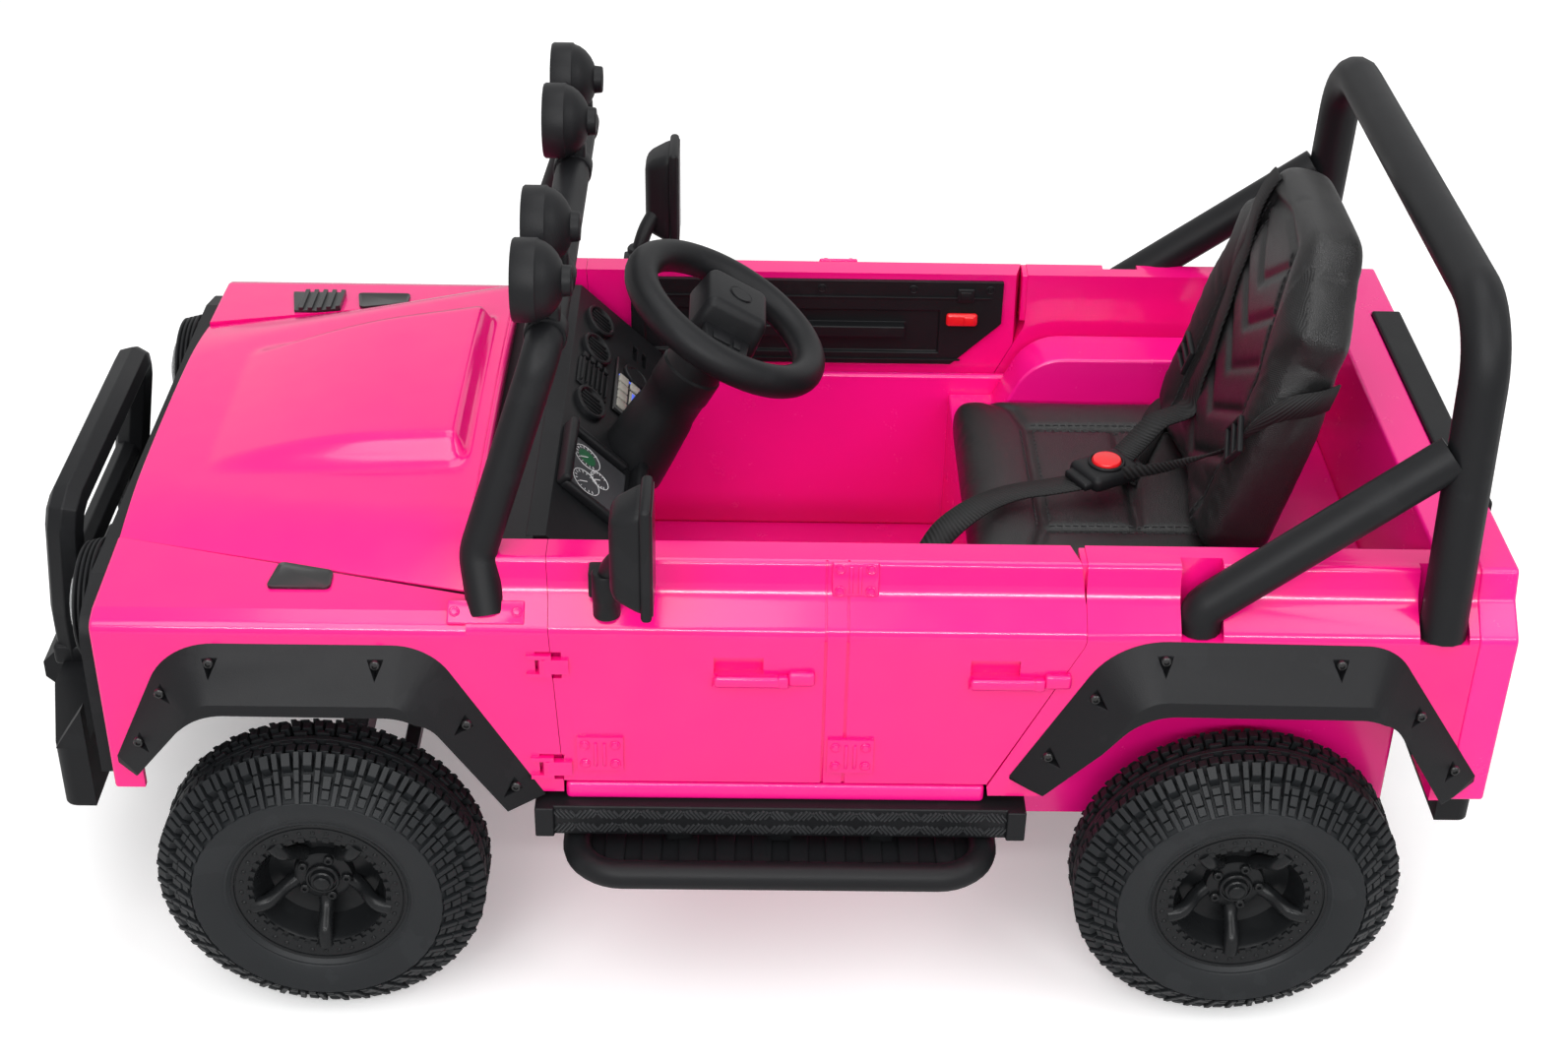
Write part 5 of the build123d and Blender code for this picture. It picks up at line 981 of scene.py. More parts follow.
# %% [markdown]
# ## Cushion and back
# The cushion is a plain block with two bolsters and a front roll. The back leans, narrows
# towards its top and carries V-shaped seams, so it is modelled flat in its own plane, where the
# seams are simple lines, and the plane is laid on the slope of the CAD's seat back.

# %% Seat cushion
# Seams of the cushion in X, Y: two bolsters, a front roll and its corners, one cross seam
BOLSTER_Y, ROLL_X, CROSS_X, CUSHION_REAR = 88, -262, -346, -430
cushion_seams = [((seam_x, -BOLSTER_Y), (seam_x, BOLSTER_Y)) for seam_x in (ROLL_X, CROSS_X)]
for side in (1, -1):
    inner_corner, outer_corner = (ROLL_X, side * BOLSTER_Y), (-252, side * 122)
    cushion_seams.append(((CUSHION_REAR, side * BOLSTER_Y), inner_corner))
    cushion_seams += [(inner_corner, outer_corner), (outer_corner, (-222, side * 152))]
cushion_plane = place(0, 0, 340)
cushion_block = bmesh.new()
soft_cube(cushion_block, (-310, 0, 0), (228, 302, 42), 15.0, segments=4)
cushion = swell(cushion_block, "seat_pad", cushion_plane, cushion_seams, -12)
finish_pad(cushion, ["seat_cushion"], lambda spot: False)

# %% Seat back
# The back in its own plane: X across the car, Y up the slope, Z out towards the driver
BACK_LONG, BACK_HALF, BACK_EDGE = 296.4, 138.0, 84
slope_up = Vector((-78, 0, 286)).normalized()
slope_out = Vector((286, 0, 78)).normalized()
back_plane = place(-384, 0, 366) @ axes(slope_up.cross(slope_out), slope_up, slope_out)
# Half widths of the back: rows of height up the slope, share of the widest
back_widths = [(0.0, 1.0), (150.0, 1.0), (215.0, 0.92), (262.0, 0.77), (284.0, 0.60), (300.0, 0.42)]


def back_share(height):
    """Half width at a height up the slope, as a share of the widest."""
    for (low, first), (high, last) in zip(back_widths, back_widths[1:]):
        if height <= high:
            return first + (last - first) * max(0.0, height - low) / (high - low)
    return back_widths[-1][1]


back_block = bmesh.new()
cube(back_block, (0, BACK_LONG / 2, -30), (2 * BACK_HALF, BACK_LONG - 8, 52))
for axis, cuts in ((1, 11), (0, 3)):
    runs = [e for e in back_block.edges if abs(e.verts[0].co[axis] - e.verts[1].co[axis]) > 0.05]
    bmesh.ops.subdivide_edges(back_block, edges=runs, cuts=cuts, use_grid_fill=True)
for vert in back_block.verts:
    x, y, z = vert.co / MM
    wide = x * back_share(y) * (1.24 if 40 < abs(x) < 100 else 1.0)
    low = 1 - ramp(y, 120.0, 230.0)
    shift = (4.0 if abs(x) > 100 else -7.0) * low if z > -30 else -8.0 * low
    vert.co = Vector((wide, y, z + shift)) * MM
bevel(back_block, [e for e in back_block.edges if e.calc_face_angle(0) > 0.9], 12.0, 4)
back_seams = []
for side in (1, -1):
    bend, peak = (side * 82, 150), (side * 50, 262)
    back_seams += [((side * BACK_EDGE, 4), bend), (bend, peak)]
    for rise in (30, 74, 118, 162, 206):
        back_seams.append(((0, rise), (side * (82 - rise * 0.14), rise + 40)))
    back_seams.append(((0, 272), peak))
backrest = swell(back_block, "back_pad", back_plane, back_seams, -46)


def on_bolster(spot):
    """Whether a spot on the back belongs to its woven side bolsters."""
    across, _, out = back_plane.inverted() @ (spot * MM) / MM
    return abs(across) > BACK_EDGE and out > -12


finish_pad(backrest, ["seat_back"], on_bolster)
print("seat seams", len(cushion_seams) + len(back_seams))

# %% [markdown]
# ## Stitching and harness
# Stitches are short threads along both sides of each long seam, dropped on to the pad. The
# straps are ribbons: a grid laid along a smooth run of points, drawn to the pad where it rests
# on it, and given a thickness. Where the real belt hangs free, the run does so too.

# %% Stitches
graph = bpy.context.evaluated_depsgraph_get()
cushion_tree, back_tree = [BVHTree.FromObject(piece, graph) for piece in (cushion, backrest)]
STITCH_PITCH, STITCH_SIZE, STITCH_ASIDE = 7.0, (4.4, 1.0, 0.9), 6.0


def stitch_row(bm, tree, start, stop, plane):
    """Threads along a line in the plane of a pad, dropped on to its face."""
    start, stop = Vector(start), Vector(stop)
    run = stop - start
    outward = plane.to_3x3() @ Vector((0, 0, 1))
    for index in range(int(run.length / STITCH_PITCH)):
        spot = start + run * ((index + 0.5) * STITCH_PITCH / run.length)
        hit, normal, _, _ = tree.ray_cast(plane @ (Vector((spot.x, spot.y, 70)) * MM), -outward)
        if hit is None:
            continue
        along = plane.to_3x3() @ Vector((run.x, run.y, 0))
        along = (along - normal * along.dot(normal)).normalized()
        where = Matrix.Translation(hit) @ axes(along, normal.cross(along), normal)
        cube(bm, (0, 0, 0.3), STITCH_SIZE, where)


thread = grained_plastic("black thread", (0.030, 0.030, 0.032), 0.55)
stitches = bmesh.new()
for aside in (-STITCH_ASIDE, STITCH_ASIDE):
    for side in (1, -1):
        edge = side * BOLSTER_Y + aside
        stitch_row(stitches, cushion_tree, (-420, edge), (-266, edge), cushion_plane)
        low, mid, high = side * BACK_EDGE + aside, side * 82 + aside, side * 50 + aside
        stitch_row(stitches, back_tree, (low, 8), (mid, 150), back_plane)
        stitch_row(stitches, back_tree, (mid, 150), (high, 260), back_plane)
    stitch_row(stitches, cushion_tree, (ROLL_X + aside, -84), (ROLL_X + aside, 84), cushion_plane)
add_piece("seat_stitches", stitches, finishes=(thread,), slot="seat_leather")
print("stitches made")

# %% Webbing
webbing = Finish("black webbing", (0.008, 0.008, 0.0085), 0.62, Specular_IOR_Level=0.25)
weave = webbing.waves("DIAGONAL", 160.0)
webbing.set(Base_Color=webbing.mix(weave, (0.006, 0.006, 0.006, 1), (0.016, 0.016, 0.017, 1)))
webbing.bump(weave, 0.0004)
STRAP_WIDE, STRAP_THICK, STRAP_LIFT, STRAP_STEPS = 25.0, 1.8, 3.0, 72


def smooth_run(points, count):
    """Points spread along a smooth curve through the given ones."""
    points = [Vector(p) for p in points]
    ends = [2 * points[0] - points[1]] + points + [2 * points[-1] - points[-2]]
    run = []
    for index in range(count + 1):
        at = index / count * (len(points) - 1)
        k = min(int(at), len(points) - 2)
        t = at - k
        a, b, c, d = ends[k : k + 4]
        cubic = (2 * a - 5 * b + 4 * c - d) * t * t + (3 * b - a - 3 * c + d) * t ** 3
        run.append(0.5 * (2 * b + (c - a) * t + cubic))
    return run


def strap(bm, points, sides, tree=None, outward=None):
    """A ribbon through points, its width along sides, lifted on to a pad where one is near."""
    run, across = smooth_run(points, STRAP_STEPS), smooth_run(sides, STRAP_STEPS)
    for index, spot in enumerate(run if tree else []):
        hit, _, _, _ = tree.ray_cast(spot * MM + outward * 60 * MM, -outward)
        if hit is not None and (hit / MM - spot).length < 24:
            run[index] = hit / MM + outward * STRAP_LIFT
    for _ in range(6):
        run[1:-1] = [(a + 2 * b + c) / 4 for a, b, c in zip(run, run[1:], run[2:])]
    for vert in bmesh.ops.create_grid(bm, x_segments=STRAP_STEPS, y_segments=2, size=1.0)["verts"]:
        index = round((vert.co.x + 1) / 2 * STRAP_STEPS)
        vert.co = (run[index] + across[index].normalized() * vert.co.y * STRAP_WIDE / 2) * MM


print("webbing ready")

# %% Straps
straps = bmesh.new()
across_back, up_back = (0, 1, 0), (-0.26, 0, 0.96)
far_shoulder = [
    (-470, -64, 634), (-452, -66, 622), (-437, -67, 578), (-421, -64, 524), (-404, -52, 459),
    (-390, -46, 418), (-364, -24, 396), (-334, 12, 386),
]
far_sides = [across_back] * 5 + [(-0.3, 0.9, 0), (-0.6, 0.8, 0), (-0.6, 0.8, 0)]
strap(straps, far_shoulder, far_sides, back_tree, slope_out)
near_shoulder = [
    (-488, 128, 520), (-470, 141, 521), (-440, 141, 514), (-417, 135, 490), (-406, 122, 466),
    (-384, 96, 440), (-360, 64, 410), (-332, 34, 386),
]
near_sides = [up_back] * 3 + [
    (-0.2, 0.3, 0.9), (-0.3, 0.6, 0.8), (-0.5, 0.8, 0.5), (-0.6, 0.8, 0.2), (-0.6, 0.8, 0),
]
strap(straps, near_shoulder, near_sides)
near_lap = [
    (-308, 36, 380), (-272, 42, 376), (-236, 50, 374), (-202, 72, 372), (-172, 98, 362), (-154, 120, 346),
]
lap_sides = [
    (0.4, -0.9, 0), (0.2, -1, 0), (0.4, -0.9, 0), (0.6, -0.8, 0.1), (0.6, -0.7, 0.3), (0.6, -0.7, 0.4),
]
strap(straps, near_lap, lap_sides)
far_lap = [(-342, 8, 378), (-366, -50, 374), (-388, -104, 372), (-406, -138, 362)]
strap(straps, far_lap, [(0.8, -0.6, 0)] * 4, cushion_tree, Vector((0, 0, 1)))
strap_piece = add_piece("harness_straps", straps, ["harness"], (webbing,), "webbing", angle=60)


def thicken(piece, thickness, offset):
    """Gives a sheet its thickness, on both sides with an offset of 0 and inwards with -1."""
    shell = piece.modifiers.new("thick", "SOLIDIFY")
    shell.thickness = thickness * MM
    shell.offset = offset


thicken(strap_piece, STRAP_THICK, 0)
print("straps made")

# %% [markdown]
# ## Buckle
# The buckle is a soft box with a tongue at each end and a red press button, and each shoulder
# strap has an adjuster of three bars between two rails. All of it is bevelled cubes and turnings.

# %% Buckle and adjusters
clasp = bmesh.new()
soft_cube(clasp, (0, 0, 0), (54, 44, 16), 7.0, segments=4)
for side in (1, -1):
    soft_cube(clasp, (side * 28, 0, -1), (14, 32, 8), 3.0)
spun(clasp, [(0, 8), (17, 8), (17, 9.6), (16, 10.6), (14.6, 10.6), (14, 9.6), (0, 9.6)], steps=36)
before = set(clasp.faces)
spun(clasp, [(0, 9), (13.4, 9), (13.4, 11), (12.4, 12.4), (9, 13.2), (0, 13.4)], steps=36)
new_faces(clasp, before, 1)
clasp_spot = place(-322, 24, 383) @ Matrix.Rotation(math.radians(30), 4, "Z")
bmesh.ops.transform(clasp, matrix=clasp_spot, verts=clasp.verts[:])
# Rows of place, direction along the strap
adjuster_rows = [((-400, -52, 462), (-0.26, 0.1, 0.96)), ((-411, 131, 479), (-0.3, 0.5, 0.8))]
for spot, along in adjuster_rows:
    along = Vector(along).normalized()
    across = along.cross(slope_out).normalized()
    where = place(*spot) @ axes(across, along, across.cross(along))
    for bar_y in (-11, 0, 11):
        soft_cube(clasp, (0, bar_y, 3), (36, 4.4, 5), 1.6, where=where)
    for rail_x in (-16, 16):
        soft_cube(clasp, (rail_x, 0, 3), (4.4, 26, 5), 1.6, where=where)
add_piece("harness_clasp", clasp, finishes=(black, red))
print("buckle made")

# %% [markdown]
# ## Bonnet
# The bonnet is one soft blow-moulded panel, crowned across and falling to the nose, with a scoop
# that runs out forward. Lofting a few sections would leave creases, so a grid is laid over its
# plan and every point gets its height from two short formulas: the crown and the scoop.

# %% Bonnet
COWL_X, NOSE_X = 226.0, 524.0
COWL_HALF, NOSE_HALF, SEAM_Z = 262.0, 188.0, 405.0
SCOOP_RISE, SCOOP_REAR, SCOOP_FRONT = 22.0, 236.0, 466.0


def soft_low(first, second, blend):
    """The lower of two heights, rounded where they cross."""
    share = max(0.0, blend - abs(first - second)) / blend
    return min(first, second) - share * share * blend / 4


def bonnet_half(run):
    """Half width of the bonnet at a share of its length."""
    return COWL_HALF + (NOSE_HALF - COWL_HALF) * run


def bonnet_height(x, y):
    """Height of the bonnet's skin: crown or sloping side, whichever is lower, and the scoop."""
    run = (x - COWL_X) / (NOSE_X - COWL_X)
    crease_y, crease_z = 214.0 - 58.0 * run, 444.0 - 31.0 * run
    seam_y = bonnet_half(run)
    top = crease_z + (8.0 - 3.0 * run) * (1 - (abs(y) / crease_y) ** 2)
    side = SEAM_Z + (seam_y - abs(y)) * (crease_z - SEAM_Z) / (seam_y - crease_y)
    edge = 137.0 - 23.0 * (x - SCOOP_REAR) / 228.0
    rise = math.sin(math.pi / 2 * min(1.0, max(0.0, (SCOOP_FRONT - x) / 150.0)))
    scoop = rise * ramp(x, SCOOP_REAR, SCOOP_REAR + 16.0) * ramp(abs(y), edge, edge - 22.0)
    return soft_low(top, side, 12.0) + SCOOP_RISE * scoop


bonnet = bmesh.new()
bmesh.ops.create_grid(bonnet, x_segments=75, y_segments=88, size=1.0)
for vert in bonnet.verts:
    along = (vert.co.x + 1) / 2
    x = COWL_X + along * (NOSE_X - COWL_X)
    y = vert.co.y * bonnet_half(along)
    vert.co = Vector((x, y, bonnet_height(x, y))) * MM
bonnet_piece = add_piece("bonnet_panel", bonnet, ["bonnet"], **PINK_LOOK, angle=60)
thicken(bonnet_piece, 5, -1)
round_edges(bonnet_piece, 1.6, 3, 60)
print("bonnet faces", len(bonnet_piece.data.polygons))

# %% Rear lip of the bonnet
LIP_DEEP = 24
lip = bmesh.new()
lip_points = [(COWL_X, y, bonnet_height(COWL_X, y)) for y in range(-255, 256, 15)]
row = [lip.verts.new(Vector((x + 0.5, y, z - 1.0)) * MM) for x, y, z in lip_points]
edges = [lip.edges.new(pair) for pair in zip(row, row[1:])]
drop = bmesh.ops.extrude_edge_only(lip, edges=edges)["geom"]
verts = [item for item in drop if isinstance(item, bmesh.types.BMVert)]
bmesh.ops.translate(lip, vec=(0, 0, -LIP_DEEP * MM), verts=verts)
thicken(add_piece("bonnet_rear_lip", lip, **PINK_LOOK), 4, -1)
print("bonnet lip points", len(lip_points))

# %% [markdown]
# ## Side panels
# Doors, wings, quarters and the rear panel keep the CAD outlines. A merged copy of each gets its
# long creases rounded much more than its ends, as a mould would, and the seams close up to a
# thin line. The bevel operator takes just the edges that run along the car.

# %% Copies with soft creases
def panel_from(name):
    """A merged copy of a CAD node, its flat faces whole again."""
    bm = bmesh.new()
    bm.from_mesh(nodes[name].data)
    bmesh.ops.remove_doubles(bm, verts=bm.verts[:], dist=0.00002)
    bmesh.ops.dissolve_limit(
        bm, angle_limit=math.radians(0.6), verts=bm.verts[:], edges=bm.edges[:],
        use_dissolve_boundaries=False,
    )
    return bm


def lengthwise(bm, y, z, slack=1.5):
    """Edges along the car that lie at this distance from its middle and this height."""
    found = []
    for edge in bm.edges:
        first, last = [vert.co / MM for vert in edge.verts]
        level = all(abs(abs(p.y) - y) < slack and abs(p.z - z) < slack for p in (first, last))
        if level and abs(first.x - last.x) > 0.5:
            found.append(edge)
    return found


def moulded_copy(node, name, radius, segments=3, bm=None, **look):
    """A piece that is a merged copy of a CAD node, shaped further or not, with its edges rounded."""
    piece = add_piece(name, bm or panel_from(node), [node], angle=30, **look)
    return round_edges(piece, radius, segments)


CREASE_Y, CREASE_Z = 276.0, 418.0
DOOR_FRONT, DOOR_REAR, DOOR_LEAN = 163.0, -271.0, 14.0
REAR_BEND_Z, REAR_BEND_RUN = 388.0, 71.0 / 144.0
SEAM_GAP, CLOSE = 3.0, 1.3
PILLAR_LINES = (-63.5, -81.3)


def close_seam(bm, outward):
    """Moves the points on the door's front and rear shut lines so that the gap is thin."""
    gap = 0 if outward > 0 else SEAM_GAP
    for vert in bm.verts:
        x, y, z = vert.co / MM
        if abs(y) < 240.0:
            continue
        front_x = DOOR_FRONT - DOOR_LEAN * min(1.0, max(0.0, (504.0 - z) / 260.0))
        rear_x = DOOR_REAR + REAR_BEND_RUN * max(0.0, REAR_BEND_Z - z)
        if abs(x - front_x - gap) < 1.2:
            vert.co.x += outward * CLOSE * MM
        elif abs(x - rear_x + gap) < 2.2:
            vert.co.x -= outward * CLOSE * MM


def cut_lines(bm, places, wide, deep, low_z):
    """Presses narrow grooves into the outer face at these places along the car."""
    for spot in places:
        for edge_x in (spot - wide / 2, spot + wide / 2):
            bmesh.ops.bisect_plane(bm, geom=all_of(bm), plane_co=(edge_x * MM, 0, 0), plane_no=(1, 0, 0))
        band = []
        for face in bm.faces:
            middle = face.calc_center_median() / MM
            if abs(middle.x - spot) < wide / 2 and abs(face.normal.y) > 0.3 and abs(middle.y) > 262:
                if middle.z > low_z and face.normal.y * middle.y > 0:
                    band.append(face)
        if band:
            bmesh.ops.inset_region(bm, faces=band, thickness=0.3 * MM, depth=-deep * MM, use_boundary=True)


print("panel helpers ready")


# %% Side skins
def skin(node, name, outward, body="chassis", lines=()):
    """A side panel: merged copy, soft crease, thin seams, grooves and small edge rounds."""
    bm = panel_from(node)
    bevel(bm, lengthwise(bm, CREASE_Y, CREASE_Z), 10.0, 5)
    front = [e for e in bm.edges if all(abs(v.co.x / MM - NOSE_X) < 0.5 for v in e.verts)]
    bevel(bm, front, 9.0, 5)
    close_seam(bm, outward)
    cut_lines(bm, lines, 2.0, 1.2, 386.0)
    moulded_copy(node, name, 1.3, bm=bm, body=body, **PINK_LOOK)


for hand, _ in HANDS:
    skin("door_" + hand, "door_skin_" + hand, 1, "door_" + hand, PILLAR_LINES)
    skin("wing_" + hand, "wing_skin_" + hand, -1)
    skin("quarter_" + hand, "quarter_skin_" + hand, -1)
print("side panels made")

# %% [markdown]
# ## Door mouldings
# The doors carry dummy hinges and two pull handles, all moulded in. A hinge plate is a soft
# block with four screw heads and two ribs, and a handle is a bar with a stepped tail.

# %% Door mouldings
PLATE_X, HANDLE_X, DOOR_FACE = (119.6, -86.6), (-13.6, -221.0), 305.0
screw_profile = [(0, 0), (4.4, 0), (4.4, 1.0), (3.8, 1.5), (3.2, 1.1), (2.9, 1.1), (2.4, 1.9), (0, 2.2)]


def hinge_plate(bm, spot):
    """Screws and ribs of a dummy hinge on a face whose outward axis is the Y of spot."""
    for dx in (-12.5, 12.5):
        for dz in (-9.5, 9.5):
            spun(bm, screw_profile, spot @ place(dx, 0, dz) @ TO_LEFT, steps=14)
    for dx in (-3.6, 3.6):
        soft_cube(bm, (dx, 0, 0), (3.0, 3.4, 24), 1.1, 2, spot)


for hand, side in HANDS:
    bm = bmesh.new()
    for plate_x in PLATE_X:
        hinge_plate(bm, place(plate_x, DOOR_FACE, 274.0))
    slope = place(PLATE_X[1], 274.2, 430.0) @ Matrix.Rotation(math.radians(13), 4, "X")
    soft_cube(bm, (0, 0, 0), (38, 4.0, 30), 2.0, where=slope)
    hinge_plate(bm, slope @ place(0, 2.0, 0))
    for handle_x in HANDLE_X:
        soft_cube(bm, (handle_x - 31, DOOR_FACE - 1.0, 353), (22, 8, 13), 3.0)
        soft_cube(bm, (handle_x + 10, DOOR_FACE + 1.2, 350.6), (60, 6.4, 10.4), 3.0)
        soft_cube(bm, (handle_x - 16, DOOR_FACE + 1.0, 351.0), (9, 7.6, 11.0), 2.0)
    to_hand(bm, side)
    add_piece("door_mouldings_" + hand, bm, **PINK_LOOK, body="door_" + hand)
print("door mouldings made")

# %% [markdown]
# ## Inner shell
# The tub, its floor, the seat platform and the rear panel are one colour and soft at every
# corner. That colour is a paler pink than the outer panels: painted light that brightens the
# shaded cabin. Copies of the CAD nodes get wide rounds, and small strips close the slits that
# those rounds would open at the door's rear edge and at the foot of the seat's riser.

# %% Inner shell
# The paler inner pink is painted light on these shaded walls.
inner_painted_light_look = {"finishes": (inner_pink_painted_light,), "slot": "pink_plastic"}
shell_radii = {"tub_walls": 4.0, "seat_platform": 9.0, "floor_pan": 3.0, "rear_panel": 3.0}
for node, radius in shell_radii.items():
    moulded_copy(node, node + "_shell", radius, 5, **inner_painted_light_look)
strips = bmesh.new()
soft_cube(strips, (-270.4, 255.5, 418), (6.2, 25, 50), 1.2)
both_hands(strips)
soft_cube(strips, (-204, 0, 160), (12, 470, 12), 2.0)
add_piece("inner_seam_strips", strips, **PINK_LOOK)
print("inner shell made")

# %% [markdown]
# ## Arch flares
# The flares are bolted-on strips. Their outer rims are rounded, and each of the six scoops in a
# rim holds a bolt head, a short turning laid into the pocket.

# %% Flares
# Corners of each arch from its axle, as shares of the wheel radius
ARCH_OUT = {
    "front": [(1.136, 0.893), (0.757, 1.714), (-0.743, 1.714), (-1.379, 0.629)],
    "rear": [(1.443, 0.814), (0.886, 1.807), (-0.714, 1.786), (-1.336, 0.85)],
}
# Places of the bolts, as shares of each of the three straight runs
BOLT_SHARES = [(0.25, 0.68), (0.17, 0.80), (0.42, 0.84)]
BOLT_INSET, FLARE_FACE = 11.0, 313.0
bolt_profile = [(0, 0), (4.2, 0), (4.2, 2.4), (3.4, 3.4), (2.2, 3.6), (1.9, 2.2), (0, 2.2)]
for end, axle_x in AXLES.items():
    moulded_copy(end + "_flares", end + "_flare_strips", 3.2, 4)
    bolts = bmesh.new()
    arch = [Vector((axle_x + dx * AXLE_Z, AXLE_Z + dz * AXLE_Z)) for dx, dz in ARCH_OUT[end]]
    for start, stop, shares in zip(arch, arch[1:], BOLT_SHARES):
        along = (stop - start).normalized()
        inward = Vector((-along.y, along.x))
        for share in shares:
            spot = start.lerp(stop, share) + inward * BOLT_INSET
            spun(bolts, bolt_profile, place(spot.x, FLARE_FACE, spot.y) @ TO_LEFT, steps=16)
    both_hands(bolts)
    add_piece(end + "_flare_bolts", bolts, finishes=(smooth_black,))
print("flares and bolts made")

# %% [markdown]
# ## Wing vents and screen feet
# The wing tops carry two mesh vents and, on the right, a louvre. Each vent is a rounded plate
# with a raised rim, so its top face is inset and pressed in. The windscreen feet stand on
# small plates with a screw at each end.

# %% Vents and feet
MESH_FRONT = 395
vent_plates = panel_from("wing_vents")
corners = []
for edge in vent_plates.edges:
    first, last = [vert.co / MM for vert in edge.verts]
    upright_edge = abs(first.z - last.z) > 0.8 * (first - last).length
    if upright_edge and max(first.x, last.x) < MESH_FRONT:
        corners.append(edge)
bevel(vent_plates, corners, 5.0, 4)
tops = [f for f in vent_plates.faces if f.normal.z > 0.8 and f.calc_center_median().x < MESH_FRONT * MM]
bmesh.ops.inset_individual(vent_plates, faces=tops, thickness=2.6 * MM, depth=-1.2 * MM)
moulded_copy("wing_vents", "wing_vent_plates", 0.8, bm=vent_plates, finishes=(smooth_black,))
feet = bmesh.new()
foot_slope = place(208.5, 290.5, 405.0) @ Matrix.Rotation(math.radians(-40), 4, "X")
soft_cube(feet, (0, 0, 0), (62, 20, 4), 1.6)
for dx in (-25, 25):
    spun(feet, screw_profile, place(dx, 0, 1.6), steps=14)
bmesh.ops.transform(feet, matrix=foot_slope, verts=feet.verts[:])
both_hands(feet)
add_piece("screen_foot_plates", feet, **PINK_LOOK)
print("vents and feet made")

# %% [markdown]
# ## Dashboard
# The dash is a moulding with stuck-on panels. Its face is a sloping plane, so all that sits on it
# is modelled flat, with X to the right, Y up the slope and Z outwards, and then laid on the slope.

# %% Dash moulding and vents
dash_up = Vector((77, 0, 74)).normalized()
dash_out = Vector((-74, 0, 77)).normalized()
dash_plane = place(126.5, 0, 399) @ axes(dash_up.cross(dash_out), dash_up, dash_out)
moulded_copy("dashboard", "dash_moulding", 2.4)


def lay(bm, name, stands_for=(), **look):
    """Lays what was modelled flat on the dash face."""
    bmesh.ops.transform(bm, matrix=dash_plane, verts=bm.verts[:])
    add_piece(name, bm, stands_for, **look)


VENT_Y, GRILLE_X = 27, 67
vent_profile = [(13, 0), (18.4, 0), (18.4, 4.4), (17.2, 5.6), (15.4, 5.6), (14.4, 4.6), (13, 1.0), (13, 0)]
vents = bmesh.new()
for vent_x in (22.0, 123.0, 179.0):
    oval = place(vent_x, VENT_Y, 0) @ Matrix.Diagonal((1.25, 0.92, 1, 1))
    spun(vents, vent_profile, oval, steps=40)
    spun(vents, [(0, 0.6), (14, 0.6), (14, 1.2), (0, 1.2)], oval, steps=32)
    for fin in range(-2, 3):
        soft_cube(vents, (vent_x + fin * 6.0, VENT_Y, 2.4), (1.8, 27 - abs(fin) * 4, 4.0), 0.7, 2)
soft_cube(vents, (GRILLE_X, VENT_Y, 1.2), (46, 36, 3.0), 1.4)
for fin in range(6):
    soft_cube(vents, (GRILLE_X, 12.5 + fin * 5.8, 3.6), (40, 2.2, 4.4), 0.9, 2)
for key in range(4):
    soft_cube(vents, (96, 14 + key * 8.4, 2.4), (8, 6.6, 4.4), 1.2, 2)
lay(vents, "dash_vents")
print("dash moulding and vents made")

# %% Radio
RADIO_Y, DISPLAY_X = -21, 81
radio = bmesh.new()
soft_cube(radio, (94, RADIO_Y, 1.6), (98, 46, 4.2), 2.0)
before = set(radio.faces)
for across in range(4):
    for up in range(3):
        if up != 1 or across in (0, 3):
            soft_cube(radio, (58 + across * 15.5, -35 + up * 14, 4.2), (13, 11.6, 2.6), 1.1, 2)
soft_cube(radio, (DISPLAY_X, RADIO_Y, 4.0), (27, 11, 1.6), 0.7)
new_faces(radio, before, 1)
before = set(radio.faces)
knob_profile = [(0, 3.4), (15, 3.4), (15.6, 4.0), (15.6, 6.4), (14.6, 7.4), (11, 7.4), (10, 6.6), (0, 6.6)]
spun(radio, knob_profile, place(126, RADIO_Y, 0), steps=40)
new_faces(radio, before, 2)
before = set(radio.faces)
soft_cube(radio, (DISPLAY_X, RADIO_Y, 4.6), (21, 6.0, 1.4), 0.5)
soft_cube(radio, (108.6, RADIO_Y, 4.0), (2.6, 40, 1.4), 0.5)
new_faces(radio, before, 3)
blue = Finish("blue light strip", (0.10, 0.16, 0.75), 0.25, Emission_Strength=0.5)
blue.set(Emission_Color=blue.mix(blue.noise(300.0), (0.05, 0.10, 0.9, 1), (0.12, 0.2, 1.0, 1)))
radio_finishes = (smooth_black, panel_grey, black, blue)
lay(radio, "radio_keys", ["radio_panel"], finishes=radio_finishes, slot="panel_plastic")
print("radio made")

# %% Gauges and hood
gauge_grey = grained_plastic("gauge panel grey", (0.045, 0.046, 0.050), 0.42)
dial_white = grained_plastic("dial white", (0.72, 0.73, 0.74), 0.5)
dial_green = grained_plastic("dial green", (0.02, 0.10, 0.045), 0.4)
TICKS, SWEEP = 13, 260
gauges = bmesh.new()
soft_cube(gauges, (-90, 10.7, 1.6), (80, 64, 4.4), 2.0)
before = set(gauges.faces)
# Rows of X, Y, radius of the dials
dial_rows = [(-72.0, 24.0, 15.0), (-92.0, 8.0, 10.5), (-110.0, 22.0, 15.0)]
for dial_x, dial_y, dial in dial_rows:
    centre = place(dial_x, dial_y, 0)
    inside = dial - 0.5
    spun(gauges, [(inside, 3.6), (dial, 3.6), (dial, 4.2), (inside, 4.2), (inside, 3.6)], centre)
    for tick in range(TICKS):
        angle = math.radians(-SWEEP / 2 + tick * SWEEP / (TICKS - 1))
        turn = Matrix.Rotation(-angle, 4, "Z")
        cube(gauges, (0, dial * 0.8, 4.1), (0.4, dial * 0.16, 0.5), centre @ turn)
    needle_turn = Matrix.Rotation(math.radians(40), 4, "Z")
    cube(gauges, (0, dial * 0.3, 4.3), (0.6, dial * 0.7, 0.5), centre @ needle_turn)
new_faces(gauges, before, 1)
before = set(gauges.faces)
